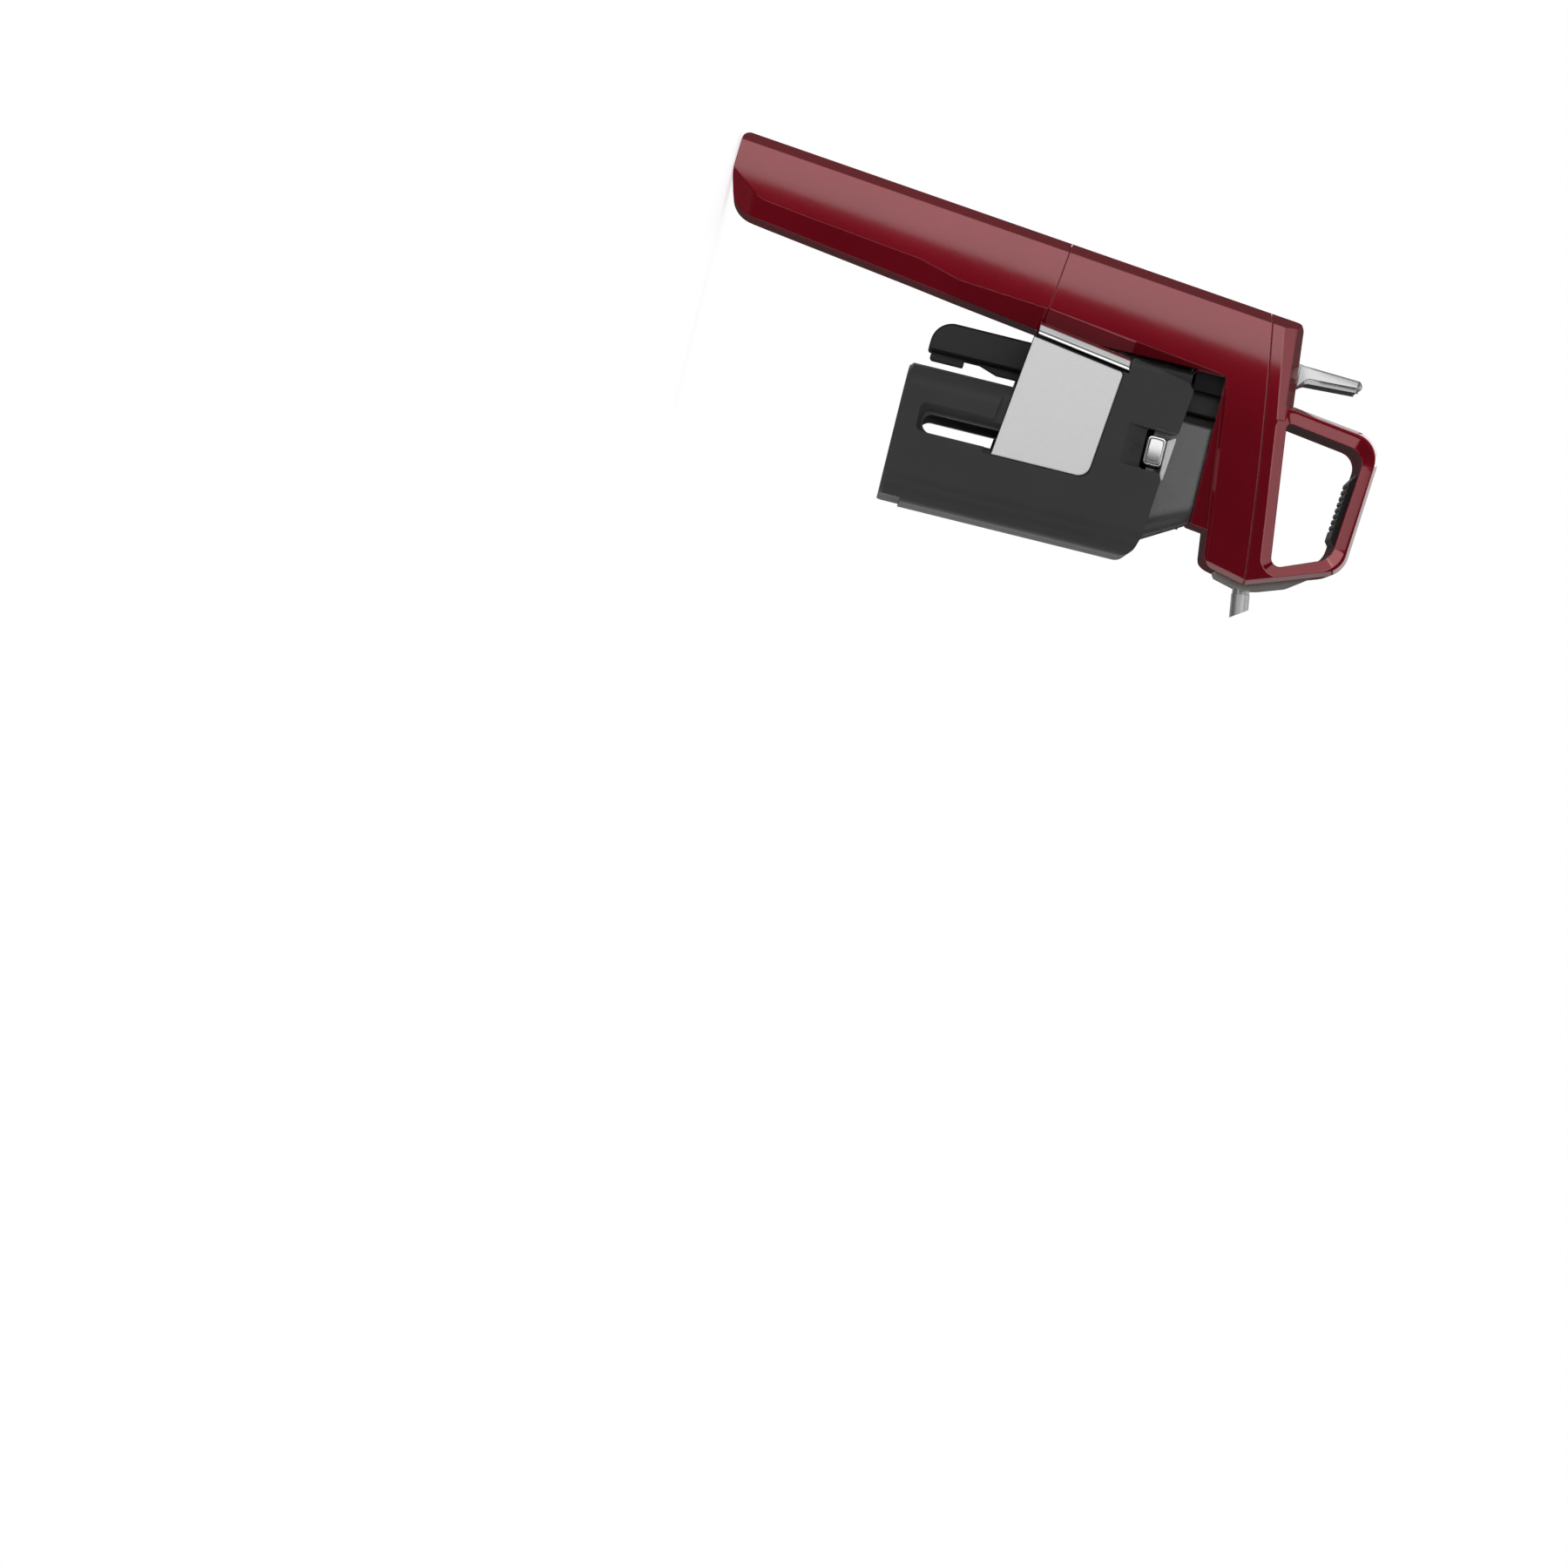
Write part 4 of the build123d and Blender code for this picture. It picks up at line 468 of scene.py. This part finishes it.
def seam_shade_liner():
    """Thin black ring on the arm's end face, in the seam between arm and cup: painted shade that keeps the
    gap dark.
    """
    tilt = math.radians(6.5)
    c, s = math.cos(tilt), math.sin(tilt)
    # the middle of the arm's end face, from its rear edge
    rear_x, rear_z, reach_in = -42.6, -34.9, 14.85
    middle_x, middle_z = rear_x - reach_in * c, rear_z + reach_in * s
    # the ring's outline in that face, the points along each side, and the radius of its round opening
    outline = ((-14.0, -9.3), (-14.0, 9.3), (-10.9, 13.3), (6.2, 13.3), (13.9, 8.3), (13.9, -8.3),
               (6.2, -13.3), (-10.9, -13.3))
    steps, opening = 8, 12.5
    # the face's own depth is 0: the ring's two faces lie above and below it
    upper, lower = -0.35, 0.03
    outer = []
    for k, (a, y) in enumerate(outline):
        b, z = outline[(k + 1) % len(outline)]
        for step in range(steps):
            outer.append((a + (b - a) * step / steps, y + (z - y) * step / steps))
    inner = []
    for a, y in outer:
        reach = opening / math.hypot(a, y)
        inner.append((a * reach, y * reach))
    points, faces = [], []
    count = len(outer)
    for depth in (upper, lower):
        for ring in (outer, inner):
            for a, y in ring:
                points.append((middle_x + a * c - depth * s, y, middle_z - a * s - depth * c))
    for k in range(count):
        n = (k + 1) % count
        faces.append((k, n, count + n, count + k))
        faces.append((2 * count + k, 3 * count + k, 3 * count + n, 2 * count + n))
        faces.append((k, 2 * count + k, 2 * count + n, n))
        faces.append((count + k, count + n, 3 * count + n, 3 * count + k))
    piece("seam_shade_liner", points, faces, "black_rubber", "body", smooth=False)


for side, label in SIDES:
    button_cap(side, label)
    trigger_facet(side, label)
    plate_rim(label)
seam_shade_liner()


# ================================================================ studio
MIDDLE = Vector((-0.02, 0.0, 0.0))
DISTANCE = 1.6  # from the object to the lights
SPOUTWARD, REARWARD, UPWARD, DOWNWARD = (1, 0, 0), (-1, 0, 0), (0, 0, 1), (0, 0, -1)
WHITE = (1, 1, 1, 1)


def softbox(name, place, across, up, radiance):
    """A rectangular light around a place, with its two sides; it shines against across x up."""
    across, up = Vector(across), Vector(up)
    light = bpy.data.lights.new(name, "AREA")
    light.shape = "RECTANGLE"
    light.size, light.size_y = across.length, up.length
    light.energy = radiance * math.pi * across.length * up.length
    thing = bpy.data.objects.new(name, light)
    scene.collection.objects.link(thing)
    x = across.normalized()
    z = x.cross(up).normalized()
    y = z.cross(x)
    thing.matrix_world = Matrix.Translation(Vector(place)) @ Matrix((x, y, z)).transposed().to_4x4()
    thing.visible_camera = False


def panel(name, side, lean, toward, width, height, radiance):
    """A softbox on the -Y or +Y side that leans by degrees towards a direction and faces the object."""
    toward = Vector(toward)
    out = Vector((0, side, 0)) * math.cos(math.radians(lean)) + toward * math.sin(math.radians(lean))
    across = toward.cross(out).normalized() * width
    up = out.cross(across).normalized() * height
    softbox(name, MIDDLE + out * DISTANCE, across, up, radiance)


# a dim room: darkest straight out from either side, lighter all the way round between them, and white
# where the camera sees it; it darkens over a span of the direction's Y, from one strength to the other
ROOM_SPAN, ROOM_STRENGTH = (0.12, 0.36), (0.22, 0.03)
world = bpy.data.worlds.new("studio")
scene.world = world
world.use_nodes = True
tree = world.node_tree
background = tree.nodes["Background"]
background.inputs["Color"].default_value = WHITE
direction = tree.nodes.new("ShaderNodeTexCoord")
split = tree.nodes.new("ShaderNodeSeparateXYZ")
tree.links.new(direction.outputs["Generated"], split.inputs[0])
sideways = tree.nodes.new("ShaderNodeMath")
sideways.operation = "ABSOLUTE"
tree.links.new(split.outputs["Y"], sideways.inputs[0])
room = tree.nodes.new("ShaderNodeMapRange")
room.interpolation_type = "SMOOTHSTEP"
tree.links.new(sideways.outputs[0], room.inputs[0])
for i, number in enumerate(ROOM_SPAN + ROOM_STRENGTH):
    room.inputs[i + 1].default_value = number
tree.links.new(room.outputs[0], background.inputs["Strength"])
white = tree.nodes.new("ShaderNodeBackground")
white.inputs["Color"].default_value = WHITE
path = tree.nodes.new("ShaderNodeLightPath")
blend = tree.nodes.new("ShaderNodeMixShader")
tree.links.new(path.outputs["Is Camera Ray"], blend.inputs[0])
tree.links.new(background.outputs[0], blend.inputs[1])
tree.links.new(white.outputs[0], blend.inputs[2])
tree.links.new(blend.outputs[0], tree.nodes["World Output"].inputs["Surface"])

# a key beside the camera's direction on either side; its inner edge leans with the arm
KEY_EDGE, KEY_WIDTH, KEY_HEIGHT, KEY_RADIANCE = (-0.195, 1.2, 0.028), 0.5, 1.5, 1.6
KEY_UP = Vector((0.1, 0, 1.0)).normalized()
KEY_OUT = Vector((-1, 0, 0.1)).normalized()
# strips further round, for the facets: lean in degrees, direction, width, height and radiance
STRIPS = (
    ("back_panel", 38, REARWARD, 1.7, 0.5, 0.9),
    ("high_panel", 38, UPWARD, 1.4, 0.5, 0.9),
    ("low_panel", 38, DOWNWARD, 1.4, 0.5, 0.9),
    # what the steep bevels along back and top mirror from the far side
    ("rim_panel", 65, REARWARD, 1.7, 0.5, 0.12),
    ("crown_panel", 62, UPWARD, 1.4, 0.5, 0.15),
)
# the nose's bevels mirror the spout's strip of the far side, which is dimmer on the left
SPOUT_RADIANCE = {"right": 1.1, "left": 0.45}

for side, label in SIDES:
    edge = Vector((KEY_EDGE[0], side * KEY_EDGE[1], KEY_EDGE[2]))
    softbox("key_" + label, edge + KEY_OUT * (KEY_WIDTH / 2), KEY_OUT * KEY_WIDTH * side,
            KEY_UP * KEY_HEIGHT, KEY_RADIANCE)
    panel("spout_panel_" + label, side, 40, SPOUTWARD, 1.7, 0.6, SPOUT_RADIANCE[label])
    for name, lean, toward, width, height, radiance in STRIPS:
        panel(name + "_" + label, side, lean, toward, width, height, radiance)

softbox("spout_side", (DISTANCE, 0, 0), (0, 0.8, 0), (0, 0, 1.2), 0.6)
softbox("back_side", (-DISTANCE, 0, 0), (0, 0.8, 0), (0, 0, -1.2), 0.4)
softbox("ceiling", (0, 0, DISTANCE), (1.4, 0, 0), (0, 1.0, 0), 0.7)

# ================================================================ floor and camera
FLOOR_HALF, FLOOR_GAP = 0.45, 0.0004
floor_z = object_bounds()[0].z - FLOOR_GAP
floor_mesh = bpy.data.meshes.new("floor")
corners = [(-1, -1), (1, -1), (1, 1), (-1, 1)]
floor_mesh.from_pydata([(x * FLOOR_HALF, y * FLOOR_HALF, floor_z) for x, y in corners], [], [(0, 1, 2, 3)])
floor = bpy.data.objects.new("floor", floor_mesh)
scene.collection.objects.link(floor)
t = Tree("floor_paper")
t.set("Base Color", t.tone(t.noise(3, 3), (0.70, 0.70, 0.697), (0.73, 0.73, 0.727)))
t.set("Roughness", 0.8)
t.set("Specular IOR Level", 0.1)
t.set("Emission Color", WHITE)
t.set("Emission Strength", 0.74)
floor_mesh.materials.append(t.material)
floor.visible_glossy = False

# the picture's right and up in the row frame: the dispenser lies with its spout down, tipped to pour
VIEW_RIGHT = Vector((-0.2402, 0.0, 0.9707))
VIEW_UP = Vector((-0.9707, 0.0, -0.2402))
VIEW_PLACE = (0.1178, -1.5, -0.0797)
camera = bpy.data.objects.new("camera", bpy.data.cameras.new("camera"))
scene.collection.objects.link(camera)
scene.camera = camera
camera.data.type = "PERSP"
camera.data.sensor_width = 36
camera.data.lens = 106.9
camera.data.clip_start = 0.05
camera.data.clip_end = 30
axes = Matrix((VIEW_RIGHT, VIEW_UP, VIEW_RIGHT.cross(VIEW_UP))).transposed().to_4x4()
camera.matrix_world = Matrix.Translation(VIEW_PLACE) @ axes

scene.view_settings.view_transform = "Standard"
scene.view_settings.look = "None"

# ================================================================ update
bpy.context.view_layer.update()
